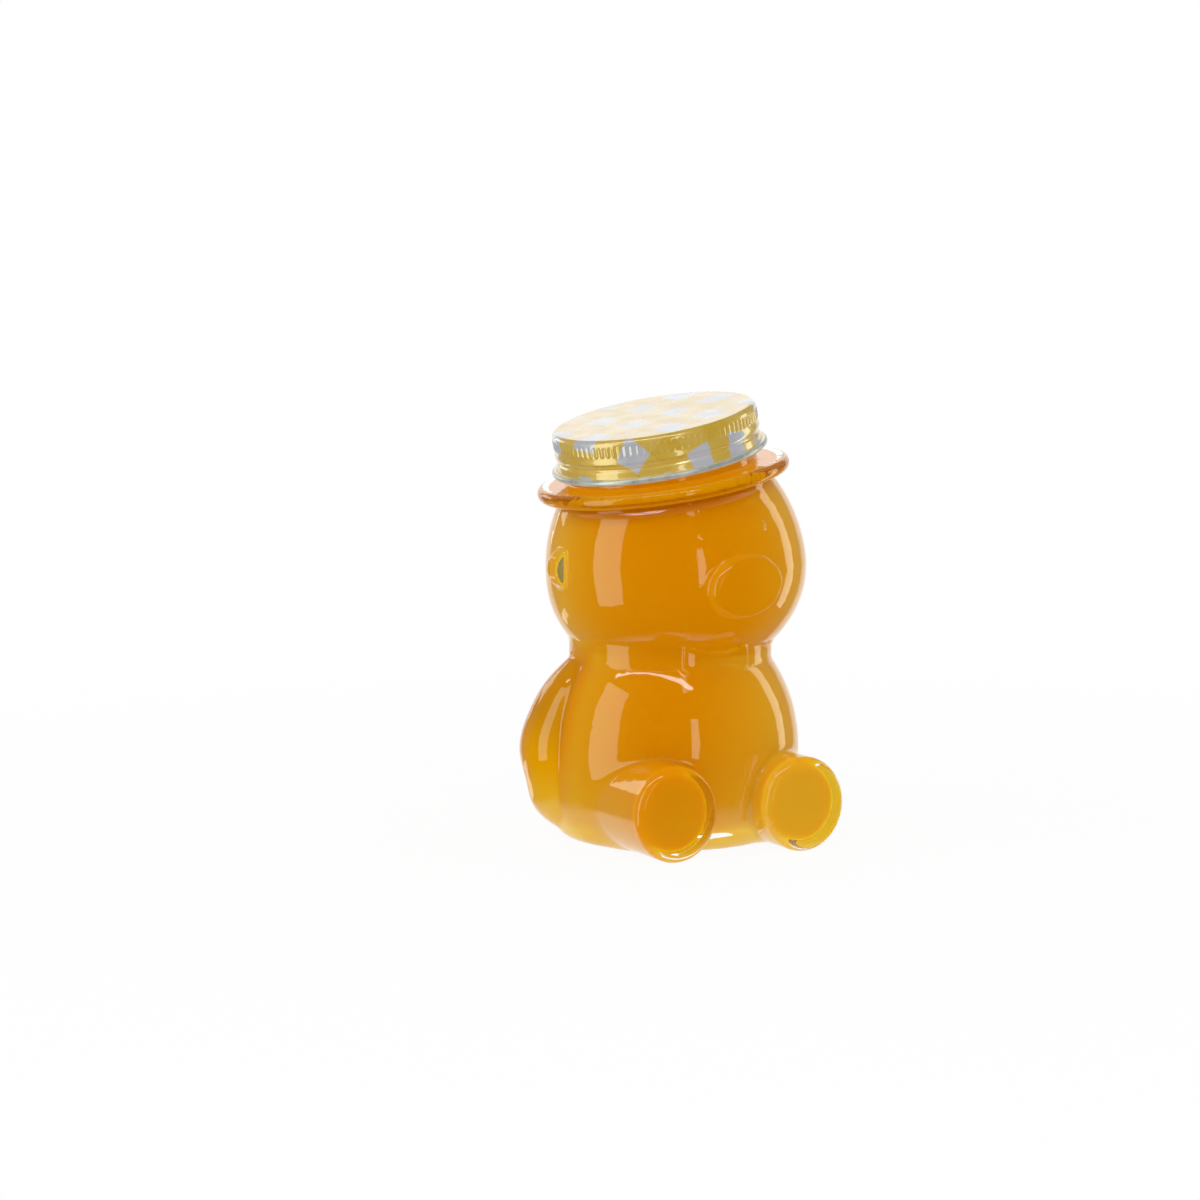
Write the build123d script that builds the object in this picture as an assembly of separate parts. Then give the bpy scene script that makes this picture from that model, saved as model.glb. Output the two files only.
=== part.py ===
"""Honey bear bottle: a moulded glass jar in the shape of a sitting bear, filled with honey.

All lengths are millimetres. The bottle stands on z = 0, the bear looks towards -Y, and its
right side is -X. The head and the hat brim share one axis that leans to the bear's right and
forward; the mouth and the lid lean the same way, a little further.
Four pieces are made: the glass jar, the honey, the tinplate lid and the sealing ring in it.
"""
from build123d import *
import math
import os

# Belly: a turned form, an ellipse above its widest place and a fuller one below it; the upper
# ellipse would close a crown gap above the collar
belly_radius = 39.6
belly_height = 28.0
belly_crown_gap = 10.4
belly_drop = 55.0
foot_ring_radius = 32.5
heel_height = 3.0
push_up_radius = 24.0
push_up_depth = 2.0

# Glass thickness: side walls, the heavy floor, the foot soles and the bend inside the floor
glass_wall = 3.0
floor_thickness = 6.0
sole_thickness = 5.0
inner_bend = 4.0

# Collar round the neck, and the passage through it
collar_radius = 31.2
collar_low = 55.4
collar_width = 6.2
collar_edge = 1.3
throat_radius = 26.8

# Bow tie in relief on the collar, a little below the collar's middle
bow_half_width = 10.8
bow_half_height = 4.1
bow_waist = 1.5
bow_knot = 2.3
bow_drop = 0.5
bow_proud = 1.3

# Legs: oval cylinders that run forward and end in flat soles
leg_half_width = 13.3
leg_half_height = 14.3
leg_spread = 21.4
leg_reach = 47.7
leg_clear = 0.3
sole_edge = 2.4
leg_wall = 2.2
leg_floor = 3.0
leg_bend = 0.8

# Arms in relief on the sides, from the shoulder down to the hip
arm_low = 1.5
arm_high = 57.5
arm_depth = 12.0
arm_half_width = 14.5
arm_height_shares = (0.0, 0.10, 0.28, 0.47, 0.68, 0.85, 1.0)
arm_reach_shares = (0.83, 1.02, 1.13, 1.185, 1.11, 0.975, 0.77)
arm_size_shares = (0.50, 0.78, 0.94, 1.0, 0.90, 0.74, 0.45)
arm_behind_degrees = (18.0, 18.0, 17.0, 16.0, 14.0, 12.0, 10.0)

# Head: its centre, seated above the collar, the lean of its axis, and a turned form round it
head_centre_x = 2.5
head_centre_y = 0.9
head_seat = 20.5
head_lean_right_degrees = 9.9
head_lean_forward_degrees = 2.2
head_turn_degrees = 3.5
head_radius = 40.2
head_rise = 45.0
head_drop = 33.5
head_low = 27.0

# Hat brim, measured along the head's axis and out from the head's side just below it; its root
# fillet takes a share of the brim's underside
brim_height = 29.3
brim_overhang = 6.87
brim_thickness = 4.2
brim_edge = 2.0
brim_root_share = 0.95

# Muzzle, eyes and ears on the head, placed along the head's axis from its centre
muzzle_half_width = 12.1
muzzle_half_height = 9.2
muzzle_reach = 43.0
muzzle_height = -0.9
muzzle_pitch_degrees = 4.0
muzzle_edge = 2.6
eye_radius = 2.1
eye_proud = 0.8
eye_height = 14.6
eye_turn_degrees = 16.0
ear_radius = 6.8
ear_thickness = 6.0
ear_reach = 42.9
ear_height = 8.5
ear_edge = 0.9

# Mouth of the jar, on an axis that starts at the brim and leans further than the head:
# a plain neck with four interrupted thread ridges, with heights from the brim's middle
mouth_lean_right_degrees = 12.3
mouth_lean_forward_degrees = 4.0
neck_radius = 29.3
mouth_radius = 26.0
rim_height = 18.0
rim_edge = 0.9
start_count = 4
lead = 14.8
ridge_span_degrees = 62.0
ridge_proud = 1.2
ridge_root_width = 2.3
ridge_tip_width = 1.3

# Lid: tinplate, with a knurled band, one groove, a rolled curl and four lugs
sheet = 0.3
skirt_radius = 31.5
lid_edge = 1.7
lid_depth = 13.5
curl_radius = 33.3
curl_wire = 0.95
groove_depth = 0.55
groove_half_height = 0.8
groove_drop = 8.9
knurl_count = 100
knurl_height = 0.3
knurl_top_drop = 1.8
knurl_band = 3.6
lug_span_degrees = 22.0
lug_width = 1.2

# Sealing ring, a flowed-in compound under the lid's panel
liner_thickness = 0.9
liner_inner_radius = 26.4

# Clearances and the filling
seal_gap = 0.1
bond_gap = 0.05
lug_side_gap = 0.45
lug_gap = 0.15
honey_gap = 0.1
fill_drop = 1.0

# Stretches in each curve of a turned outline
bulge_spans = 4

# One overrun for cuts, and how deep added pieces are bedded in what carries them
overrun = 5.0
bedding = 0.5

# Places worked out from the sizes above
half_turn = 180.0
quarter_turn = 90.0
full_turn = 360.0
collar_high = collar_low + collar_width
belly_rise = collar_high + belly_crown_gap - belly_height
bow_height = (collar_low + collar_high) / 2 - bow_drop
brim_under = brim_height - brim_thickness / 2
brim_turn = math.asin(brim_under / head_rise)
brim_root_radius = head_radius * math.cos(brim_turn)
brim_radius = brim_root_radius + brim_overhang
side_slope = math.atan2(head_rise * math.cos(brim_turn), head_radius * math.sin(brim_turn))
brim_root = brim_root_share * (brim_overhang - brim_edge) * math.tan(side_slope / 2)
lid_top = rim_height + seal_gap + liner_thickness + bond_gap + sheet
curl_height = lid_top - lid_depth + curl_wire
lug_height = curl_height
leg_height = leg_half_height + leg_clear
head_place = Location(
    (head_centre_x, head_centre_y, collar_high + head_seat),
    (head_lean_forward_degrees, -head_lean_right_degrees, head_turn_degrees))
mouth_place = Location(
    (head_place * Pos(0, 0, brim_height)).position,
    (mouth_lean_forward_degrees, -mouth_lean_right_degrees, 0))


def bulge(radius, reach, centre, low, high):
    """Smooth curve along an ellipse of a turned outline, between two heights."""
    first = math.asin((low - centre) / reach)
    last = math.asin((high - centre) / reach)
    turns = [first + (last - first) * n / bulge_spans for n in range(bulge_spans + 1)]
    points = [(radius * math.cos(t), centre + reach * math.sin(t)) for t in turns]
    ends = [(-radius * math.sin(t), reach * math.cos(t)) for t in (first, last)]
    return Spline(*points, tangents=ends)


def turned(outline):
    """Solid of revolution about Z from a list of edges that closes along the axis."""
    return revolve(Plane.XZ * make_face(outline), Axis.Z)


def belly_outside():
    """Belly with its heel and the flat ring that it stands on."""
    low = bulge(belly_radius, belly_drop, belly_height, heel_height, belly_height)
    high = bulge(belly_radius, belly_rise, belly_height, belly_height, collar_high)
    heel = TangentArc(low @ 0, (foot_ring_radius, 0), tangent=-(low % 0))
    top = (0, collar_high)
    return turned([
        low, high, heel,
        Line(heel @ 1, (0, 0)), Line((0, 0), top), Line(top, high @ 1),
    ])


def push_up():
    """Shallow dome that is pressed up under the floor."""
    rise = ThreePointArc(
        (-push_up_radius, 0), (0, push_up_depth), (push_up_radius, 0))
    whole = make_face([rise, Line(rise @ 1, rise @ 0)])
    half = whole & Pos(push_up_radius / 2, 0) * Rectangle(push_up_radius, 2 * push_up_radius)
    dome = revolve(Plane.XZ * half, Axis.Z)
    return dome + Cylinder(push_up_radius, overrun, align=(Align.CENTER, Align.CENTER, Align.MAX))


def belly_inside(inset):
    """Room inside the belly, up into the collar."""
    wall = glass_wall + inset
    floor = floor_thickness + inset
    radius = belly_radius - wall
    low = bulge(radius, belly_drop - wall, belly_height, floor, belly_height)
    high = bulge(radius, belly_rise - wall, belly_height, belly_height, collar_low)
    top = (0, collar_low)
    face = make_face([
        low, high,
        Line((0, floor), low @ 0), Line((0, floor), top), Line(top, high @ 1),
    ])
    corner = face.vertices().sort_by_distance((low @ 0))[0]
    return revolve(Plane.XZ * fillet(corner, inner_bend), Axis.Z)


def collar():
    """Band round the neck, between the belly and the head."""
    band = Pos(0, 0, (collar_low + collar_high) / 2) * Cylinder(
        collar_radius, collar_high - collar_low)
    return fillet(band.edges(), collar_edge)


def throat(inset):
    """Passage through the collar, from the belly into the head."""
    low = collar_low - head_low / 2
    return Pos(0, 0, low) * Cylinder(
        throat_radius - inset, head_low, align=(Align.CENTER, Align.CENTER, Align.MIN))


def bow_tie():
    """Bow tie in relief, bent to the collar."""
    wing = Polyline(
        (0, bow_waist), (bow_half_width, bow_half_height), (bow_half_width, -bow_half_height),
        (0, -bow_waist), (-bow_half_width, -bow_half_height), (-bow_half_width, bow_half_height),
        close=True)
    outline = make_face(wing) + RectangleRounded(2 * bow_knot, 2 * bow_knot, bow_knot / 2)
    block = extrude(Plane.XZ * outline, collar_radius + overrun)
    bend = Cylinder(collar_radius + bow_proud, 2 * collar_radius)
    core = Cylinder(throat_radius, 2 * collar_radius)
    return Pos(0, 0, bow_height) * ((block & bend) - core)


def leg_outside(side):
    """One leg; side is -1 for the bear's right and 1 for its left."""
    leg = extrude(Ellipse(leg_half_width, leg_half_height), leg_reach)
    leg = fillet(leg.faces().sort_by(Axis.Z)[-1].edges(), sole_edge)
    return Location((side * leg_spread, 0, leg_height), (quarter_turn, 0, 0)) * leg


def leg_inside(side, inset):
    """Hollow of one leg, open to the belly, with more glass below it than round it."""
    wall = leg_wall + inset
    low = leg_height - leg_half_height + leg_floor + inset
    high = leg_height + leg_half_height - wall
    hollow = extrude(
        Ellipse(leg_half_width - wall, (high - low) / 2), leg_reach - sole_thickness - inset)
    hollow = fillet(hollow.faces().sort_by(Axis.Z)[-1].edges(), leg_bend)
    return Location((side * leg_spread, 0, (low + high) / 2), (quarter_turn, 0, 0)) * hollow


def arm_section(height_share, reach_share, size_share, behind):
    """Level oval section of the right arm."""
    depth = arm_depth * size_share
    out = belly_radius * reach_share - depth
    turn = math.radians(half_turn - behind)
    place = Plane(
        origin=(out * math.cos(turn), out * math.sin(turn),
                arm_low + (arm_high - arm_low) * height_share),
        x_dir=(math.cos(turn), math.sin(turn), 0),
        z_dir=(0, 0, 1))
    return place * Ellipse(depth, arm_half_width * size_share)


def arm():
    """Right arm in relief, lofted through level ovals."""
    rows = zip(arm_height_shares, arm_reach_shares, arm_size_shares, arm_behind_degrees)
    return loft([arm_section(*row) for row in rows])


def head_ball():
    """Head turned about its own axis, with the hat brim and its soft root."""
    low = bulge(head_radius, head_drop, 0, -head_low, 0)
    high = bulge(head_radius, head_rise, 0, 0, brim_height)
    bottom = (0, -head_low)
    top = (0, brim_height)
    half = make_face([
        low, high,
        Line(bottom, low @ 0), Line(bottom, top), Line(top, high @ 1),
    ])
    half += Pos(brim_radius / 2, brim_height) * Rectangle(brim_radius, brim_thickness)
    rim = [
        half.vertices().sort_by_distance((brim_radius, brim_height + up))[0]
        for up in (-brim_thickness / 2, brim_thickness / 2)]
    half = fillet(rim, brim_edge)
    root = half.vertices().sort_by_distance((brim_root_radius, brim_under))[0]
    return revolve(Plane.XZ * fillet(root, brim_root), Axis.Z)


def helical_bar(inner, outer, root, tip, span, middle):
    """Bar along the thread, centred on angle zero at height middle."""
    rise = lead * span / full_turn
    section = make_face(Polyline(
        (inner, -root / 2), (outer, -tip / 2), (outer, tip / 2), (inner, root / 2),
        close=True))
    path = Helix(lead, rise, inner)
    bar = sweep(Plane.XZ * section, path=path, is_frenet=True)
    return Location((0, 0, middle - rise / 2), (0, 0, -span / 2)) * bar


def round_the_axis(shape, count):
    """Copies of a shape, evenly round Z."""
    return [Rot(0, 0, full_turn * n / count) * shape for n in range(count)]


def finish():
    """Neck, rim and the four thread ridges that the lid's lugs slide under."""
    neck = Cylinder(neck_radius, rim_height, align=(Align.CENTER, Align.CENTER, Align.MIN))
    neck = fillet(neck.faces().sort_by(Axis.Z)[-1].edges(), rim_edge)
    ridge_middle = lug_height + (lug_width + ridge_root_width) / 2 + lug_gap
    ridge = helical_bar(
        neck_radius - bedding, neck_radius + ridge_proud,
        ridge_root_width, ridge_tip_width, ridge_span_degrees, ridge_middle)
    return neck + round_the_axis(ridge, start_count)


def muzzle():
    """Oval snout with a flat front and a soft edge."""
    pitch = math.radians(muzzle_pitch_degrees)
    snout = extrude(Ellipse(muzzle_half_width, muzzle_half_height), muzzle_reach)
    snout = fillet(snout.faces().sort_by(Axis.Z)[-1].edges(), muzzle_edge)
    height = muzzle_reach * math.sin(pitch) + muzzle_height
    return Location((0, 0, height), (quarter_turn + muzzle_pitch_degrees, 0, 0)) * snout


def eye(side):
    """Small round bump."""
    level = head_radius * math.sqrt(1 - (eye_height / head_rise) ** 2)
    out = level - eye_radius + eye_proud
    turn = math.radians(side * eye_turn_degrees)
    return Pos(out * math.sin(turn), -out * math.cos(turn), eye_height) * Sphere(eye_radius)


def ear(side):
    """Solid round boss on the side of the head, its flat faces to the front and back."""
    disc = fillet(Cylinder(ear_radius, ear_thickness).edges(), ear_edge)
    place = Location((side * (ear_reach - ear_radius), 0, ear_height), (quarter_turn, 0, 0))
    return place * disc


def head_outside():
    """Everything of the head and the hat brim, with the mouth on its own axis."""
    parts = [muzzle(), eye(-1), eye(1), ear(-1), ear(1)]
    return head_place * (head_ball() + parts) + mouth_place * finish()


def head_inside(inset, top):
    """Room inside the head and the bore of the mouth, up to a height on the mouth's axis."""
    wall = glass_wall + inset
    radius = head_radius - wall
    low = bulge(radius, head_drop - wall, 0, -head_low + wall, 0)
    high = bulge(radius, head_rise - wall, 0, 0, brim_height)
    bottom = (0, -head_low + wall)
    crown = (0, brim_height)
    room = turned([
        low, high,
        Line(bottom, low @ 0), Line(bottom, crown), Line(crown, high @ 1),
    ])
    keep = Cylinder(head_radius, 2 * head_radius, align=(Align.CENTER, Align.CENTER, Align.MAX))
    shoulder = brim_height - brim_thickness / 2 - brim_root
    bore = Pos(0, 0, -head_rise / 2) * Cylinder(
        mouth_radius - inset, head_rise / 2 + top,
        align=(Align.CENTER, Align.CENTER, Align.MIN))
    return head_place * (room & Pos(0, 0, shoulder) * keep) + mouth_place * bore


def cavity(inset, top):
    """Whole room inside the glass, drawn in by inset."""
    parts = [throat(inset), head_inside(inset, top)]
    parts += [leg_inside(side, inset) for side in (-1, 1)]
    return belly_inside(inset) + parts


def glass_jar():
    """Outer form of the bear less the room inside and the push-up."""
    right_arm = arm()
    parts = [collar(), bow_tie(), right_arm, mirror(right_arm, Plane.YZ), head_outside()]
    parts += [leg_outside(side) for side in (-1, 1)]
    body = belly_outside() + parts
    return body - cavity(0, rim_height + overrun) - push_up()


def honey():
    """Filling: the room inside up to a level a little below the rim."""
    rim_centre = (mouth_place * Pos(0, 0, rim_height)).position
    level = rim_centre.Z - mouth_radius * math.sin(math.radians(mouth_lean_right_degrees)) - fill_drop
    keep = Pos(0, 0, level) * Box(
        2 * level, 2 * level, 2 * level, align=(Align.CENTER, Align.CENTER, Align.MAX))
    return cavity(honey_gap, rim_height) & keep


def lid_outline(inset):
    """Closed half outline of the lid, drawn in by inset."""
    top = lid_top - inset
    radius = skirt_radius - inset
    shoulder = lid_top - lid_edge
    flat = skirt_radius - lid_edge
    groove = lid_top - groove_drop
    low = curl_height - inset * overrun
    edge = CenterArc((flat, shoulder), lid_edge - inset, 0, quarter_turn)
    dip = ThreePointArc(
        (radius, groove + groove_half_height),
        (radius - groove_depth, groove),
        (radius, groove - groove_half_height))
    return [
        edge, dip,
        Line((0, top), edge @ 1), Line(edge @ 0, dip @ 0), Line(dip @ 1, (radius, low)),
        Line((radius, low), (0, low)), Line((0, low), (0, top)),
    ]


def knurls():
    """Band of fine upright ribs below the lid's top edge."""
    step = full_turn / (2 * knurl_count)
    points = []
    for n in range(2 * knurl_count):
        turn = math.radians(n * step)
        radius = skirt_radius + knurl_height * (n % 2)
        points.append((radius * math.cos(turn), radius * math.sin(turn)))
    band = extrude(make_face(Polyline(*points, close=True)), knurl_band)
    band -= Cylinder(skirt_radius - sheet / 2, 2 * knurl_band + overrun)
    return Pos(0, 0, lid_top - knurl_top_drop - knurl_band) * band


def lid_shell():
    """Pressed lid on the mouth's axis."""
    shell = turned(lid_outline(0)) - turned(lid_outline(sheet))
    curl = Pos(0, 0, curl_height) * Torus(curl_radius - curl_wire, curl_wire)
    lug = helical_bar(
        neck_radius + lug_side_gap, skirt_radius - sheet / 2,
        lug_width, lug_width, lug_span_degrees, lug_height)
    parts = [curl, knurls()] + round_the_axis(lug, start_count)
    return mouth_place * (shell + parts)


def lid_liner():
    """Flat ring that the rim presses into."""
    low = rim_height + seal_gap
    ring = Cylinder(skirt_radius - lid_edge, liner_thickness)
    ring -= Cylinder(liner_inner_radius, liner_thickness + overrun)
    return mouth_place * Pos(0, 0, low + liner_thickness / 2) * ring


os.makedirs("parts", exist_ok=True)
pieces = {
    "glass_jar": glass_jar(),
    "honey": honey(),
    "lid_shell": lid_shell(),
    "lid_liner": lid_liner(),
}
for name, shape in pieces.items():
    export_step(shape, f"parts/{name}.step")
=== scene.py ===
"""Honey bear bottle: the looks of a moulded glass bear jar full of honey with a gingham twist-off lid.

Sizes are written in millimetres, as a glass maker's drawing has them, and every mesh is made in
metres in the frame's own place: +Z up, the bear looks towards -Y and its right side is -X.
"""
import logging
import math
from dataclasses import dataclass, field
from enum import Enum
from typing import Callable

import bpy
import numpy as np
from mathutils import Matrix


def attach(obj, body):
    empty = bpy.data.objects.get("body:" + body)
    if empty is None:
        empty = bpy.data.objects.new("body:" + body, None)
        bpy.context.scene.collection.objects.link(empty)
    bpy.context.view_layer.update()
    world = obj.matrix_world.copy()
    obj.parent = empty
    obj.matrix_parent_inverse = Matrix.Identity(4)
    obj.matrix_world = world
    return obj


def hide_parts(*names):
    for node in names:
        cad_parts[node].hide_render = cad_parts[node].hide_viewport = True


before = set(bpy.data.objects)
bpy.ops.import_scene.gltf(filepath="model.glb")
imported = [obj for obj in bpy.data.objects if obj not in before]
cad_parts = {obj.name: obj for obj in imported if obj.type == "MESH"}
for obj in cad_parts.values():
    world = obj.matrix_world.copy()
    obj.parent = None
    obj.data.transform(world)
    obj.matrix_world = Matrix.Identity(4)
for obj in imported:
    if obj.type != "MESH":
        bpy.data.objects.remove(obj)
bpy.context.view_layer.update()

MM = 0.001
FULL_TURN = 2.0 * math.pi
MOST_REFLECTIONS = 2.5
LOG = logging.getLogger("honey_bear")

Array = np.ndarray
Field = Callable[[Array], Array]
Triple = tuple[float, float, float]
Colour = tuple[float, float, float, float]
Mesh = bpy.types.Mesh
Material = bpy.types.Material
Node = bpy.types.Node
Object = bpy.types.Object
Socket = bpy.types.NodeSocket
Tree = bpy.types.NodeTree

WHITE: Colour = (1.0, 1.0, 1.0, 1.0)
BOARD: Colour = (0.86, 0.86, 0.86, 1.0)


class Side(Enum):
    """The bear's own right and left."""

    RIGHT = -1
    LEFT = 1


class RayKind(Enum):
    """Light Path outputs that the studio and the glass tell apart."""

    CAMERA = "Is Camera Ray"
    SHADOW = "Is Shadow Ray"
    DIFFUSE = "Is Diffuse Ray"
    GLOSSY = "Is Glossy Ray"
    TRANSMISSION = "Is Transmission Ray"


# Places: leaning axes


@dataclass(frozen=True)
class Lean:
    """An axis that leans off the vertical, with its own sideways, forward and upward directions.

    The forward lean turns about X, then the lean to the right about Y, then the turn about Z.
    """

    origin: Triple
    right_degrees: float
    forward_degrees: float
    turn_degrees: float = 0.0

    @property
    def axes(self) -> Array:
        """Matrix whose columns are the leaning X, Y and Z directions."""
        tip, lean, turn = np.radians([self.forward_degrees, -self.right_degrees, self.turn_degrees])
        about_x = np.array([[1, 0, 0], [0, np.cos(tip), -np.sin(tip)], [0, np.sin(tip), np.cos(tip)]])
        about_y = np.array([[np.cos(lean), 0, np.sin(lean)], [0, 1, 0], [-np.sin(lean), 0, np.cos(lean)]])
        about_z = np.array([[np.cos(turn), -np.sin(turn), 0], [np.sin(turn), np.cos(turn), 0], [0, 0, 1]])
        return about_x @ about_y @ about_z

    def place(self, points: Array) -> Array:
        """Points given along the leaning axes, as points of the bottle."""
        return points @ self.axes.T + np.array(self.origin)

    def read(self, points: Array) -> Array:
        """Points of the bottle, as measured along the leaning axes."""
        return (points - np.array(self.origin)) @ self.axes

    def along(self, distance: float) -> Triple:
        """The point at a distance up the axis."""
        return tuple(float(v) for v in self.place(np.array([0.0, 0.0, distance])))


# Distance formulas for moulded forms


def from_axis(points: Array) -> Array:
    """How far each point lies from the Z axis."""
    return np.hypot(points[:, 0], points[:, 1])


def unit(values: Array) -> Array:
    """The values, held between none and one."""
    return np.clip(values, 0.0, 1.0)


def eased(values: Array) -> Array:
    """A share s, held between none and one and eased at both ends: 3 s^2 - 2 s^3."""
    share = unit(values)
    return share * share * (3.0 - 2.0 * share)


def soft_join(first: Array, second: Array, reach: float) -> Array:
    """Union of two distance fields with a hollow fillet.

    Where the two values are within reach of each other, a parabola replaces the sharp minimum.

    Args:
        first: Distances to one form, negative inside.
        second: Distances to the other form.
        reach: How far apart the values may be and still be blended.

    Returns:
        The blended distances.
    """
    share = unit(0.5 + 0.5 * (second - first) / reach)
    return second * (1.0 - share) + first * share - reach * share * (1.0 - share)


def soft_meet(first: Array, second: Array, reach: float) -> Array:
    """Intersection of two distance fields with a rounded edge: the union of their opposites, negated."""
    return -soft_join(-first, -second, reach)


def round_meet(across: Array, along: Array, edge: float) -> Array:
    """Intersection of two distances whose common edge is a quarter circle of radius edge."""
    a = across + edge
    b = along + edge
    return np.minimum(np.maximum(a, b), 0.0) + np.hypot(np.maximum(a, 0.0), np.maximum(b, 0.0)) - edge


def oval_distance(u: Array, v: Array, half_u: Array | float, half_v: Array | float) -> Array:
    """Distance to an oval: the oval's equation less one, divided by the steepness of the equation."""
    level = np.sqrt((u / half_u) ** 2 + (v / half_v) ** 2)
    steep = np.sqrt((u / half_u**2) ** 2 + (v / half_v**2) ** 2)
    return (level - 1.0) * level / np.maximum(steep, 1e-9)


def disc_distance(points: Array, radius: float, half_height: float, edge: float) -> Array:
    """Distance to a round disc about Z with rounded edges."""
    return round_meet(from_axis(points) - radius, np.abs(points[:, 2]) - half_height, edge)


def slope_of(points: Array, shape: Field, step: float = 0.02) -> Array:
    """Slope of a distance field, from its values a small step to each side along X, Y and Z."""
    slope = np.empty_like(points)
    for axis in range(3):
        move = np.zeros(3)
        move[axis] = step
        slope[:, axis] = (shape(points + move) - shape(points - move)) / (2.0 * step)
    return slope


def settle(points: Array, shape: Field, rounds: int = 4, most: float = 0.5) -> Array:
    """Moves points onto the surface where a distance field is zero.

    Each round moves every point down the field's slope by its value over the slope's length.

    Args:
        points: Points near the surface, in millimetres.
        shape: The distance field.
        rounds: How many times to repeat the step.
        most: The longest step, in millimetres.

    Returns:
        The moved points.
    """
    for _ in range(rounds):
        slope = slope_of(points, shape)
        size = np.maximum((slope**2).sum(axis=1), 1e-6)
        move = np.clip(shape(points) / np.sqrt(size), -most, most)
        points = points - slope * (move / np.sqrt(size))[:, None]
    return points


def spline_through(shares: Array, values: Array, at: Array) -> Array:
    """Natural cubic spline through a table.

    Each stretch is a cubic whose second slopes at the knots solve one linear system, with none at
    the two ends.

    Args:
        shares: Increasing knots.
        values: The value at each knot.
        at: Where to read the curve.

    Returns:
        The curve's values at those places.
    """
    count = len(shares)
    step = np.diff(shares)
    system = np.eye(count)
    right = np.zeros(count)
    inner = np.arange(1, count - 1)
    system[inner, inner - 1] = step[:-1]
    system[inner, inner] = 2.0 * (step[:-1] + step[1:])
    system[inner, inner + 1] = step[1:]
    right[inner] = 6.0 * (np.diff(values)[1:] / step[1:] - np.diff(values)[:-1] / step[:-1])
    bend = np.linalg.solve(system, right)
    n = np.clip(np.searchsorted(shares, at, side="right") - 1, 0, count - 2)
    before = (shares[n + 1] - at) / step[n]
    after = (at - shares[n]) / step[n]
    curve = ((before**3 - before) * bend[n] + (after**3 - after) * bend[n + 1]) * step[n] ** 2 / 6.0
    return before * values[n] + after * values[n + 1] + curve


# Meshes


def grid_faces(rows: int, columns: int) -> Array:
    """Faces between the rows of a grid whose columns close on themselves."""
    row, column = np.meshgrid(np.arange(rows - 1), np.arange(columns), indexing="ij")
    beside = (column + 1) % columns
    corners = (row * columns + column, row * columns + beside,
               (row + 1) * columns + beside, (row + 1) * columns + column)
    return np.stack(corners, axis=-1).reshape(-1, 4)


@dataclass
class Shell:
    """Points in millimetres and the faces between them, before they become a Blender mesh."""

    points: Array
    quads: Array
    triangles: Array = field(default_factory=lambda: np.zeros((0, 3), int))

    def moved(self, lean: Lean) -> "Shell":
        """The same shell, placed along a leaning axis."""
        return Shell(lean.place(self.points), self.quads, self.triangles)

    def shifted(self, x: float, y: float, z: float) -> "Shell":
        """The same shell, moved along X, Y and Z."""
        return self.with_points(self.points + [x, y, z])

    def with_points(self, points: Array) -> "Shell":
        """The same faces on other points."""
        return Shell(points, self.quads, self.triangles)

    def flipped(self) -> "Shell":
        """The same shell with its faces turned the other way."""
        return Shell(self.points, self.quads[:, ::-1], self.triangles[:, ::-1])

    def mesh(self, name: str) -> Mesh:
        """A Blender mesh in metres."""
        data = bpy.data.meshes.new(name)
        faces = self.quads.tolist() + self.triangles.tolist()
        data.from_pydata((self.points * MM).tolist(), [], faces)
        data.update()
        return data


def joined(shells: list[Shell]) -> Shell:
    """Several shells as one list of points and faces."""
    starts = np.cumsum([0] + [len(s.points) for s in shells[:-1]])
    return Shell(
        np.concatenate([s.points for s in shells]),
        np.concatenate([s.quads + n for s, n in zip(shells, starts)]),
        np.concatenate([s.triangles + n for s, n in zip(shells, starts)]))


def closed_tube(rings: Array) -> Shell:
    """Rings of points, each joined to the next, with both ends closed by a fan from the ring's middle.

    Args:
        rings: Points by ring, and by place round the ring.

    Returns:
        The closed shell.
    """
    count, columns = rings.shape[:2]
    points = rings.reshape(-1, 3)
    here = np.arange(columns)
    beside = (here + 1) % columns
    last = (count - 1) * columns
    caps = np.concatenate([
        np.stack([beside, here, np.full(columns, len(points))], axis=1),
        np.stack([last + here, last + beside, np.full(columns, len(points) + 1)], axis=1)])
    ends = rings[[0, -1]].mean(axis=1)
    return Shell(np.concatenate([points, ends]), grid_faces(count, columns), caps)


def turned_shell(out: Array, height: Array, columns: int, oval: tuple[float, float] = (1.0, 1.0)) -> Shell:
    """Closed surface of revolution about Z.

    Point (i, j) is (out_i cos t_j, out_i sin t_j, height_i), with t_j = j turns / columns. The two
    ends of the outline are closed by one point each, on the axis.

    Args:
        out: Radii of the outline, from its low end to its high end, none of them zero.
        height: Heights of the outline.
        columns: Points round the axis.
        oval: Stretch along X and Y.

    Returns:
        The closed shell, its faces outward.
    """
    turn = np.arange(columns) * FULL_TURN / columns
    x = np.outer(out, np.cos(turn)) * oval[0]
    y = np.outer(out, np.sin(turn)) * oval[1]
    z = np.outer(height, np.ones(columns))
    return closed_tube(np.stack([x, y, z], axis=-1))


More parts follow.
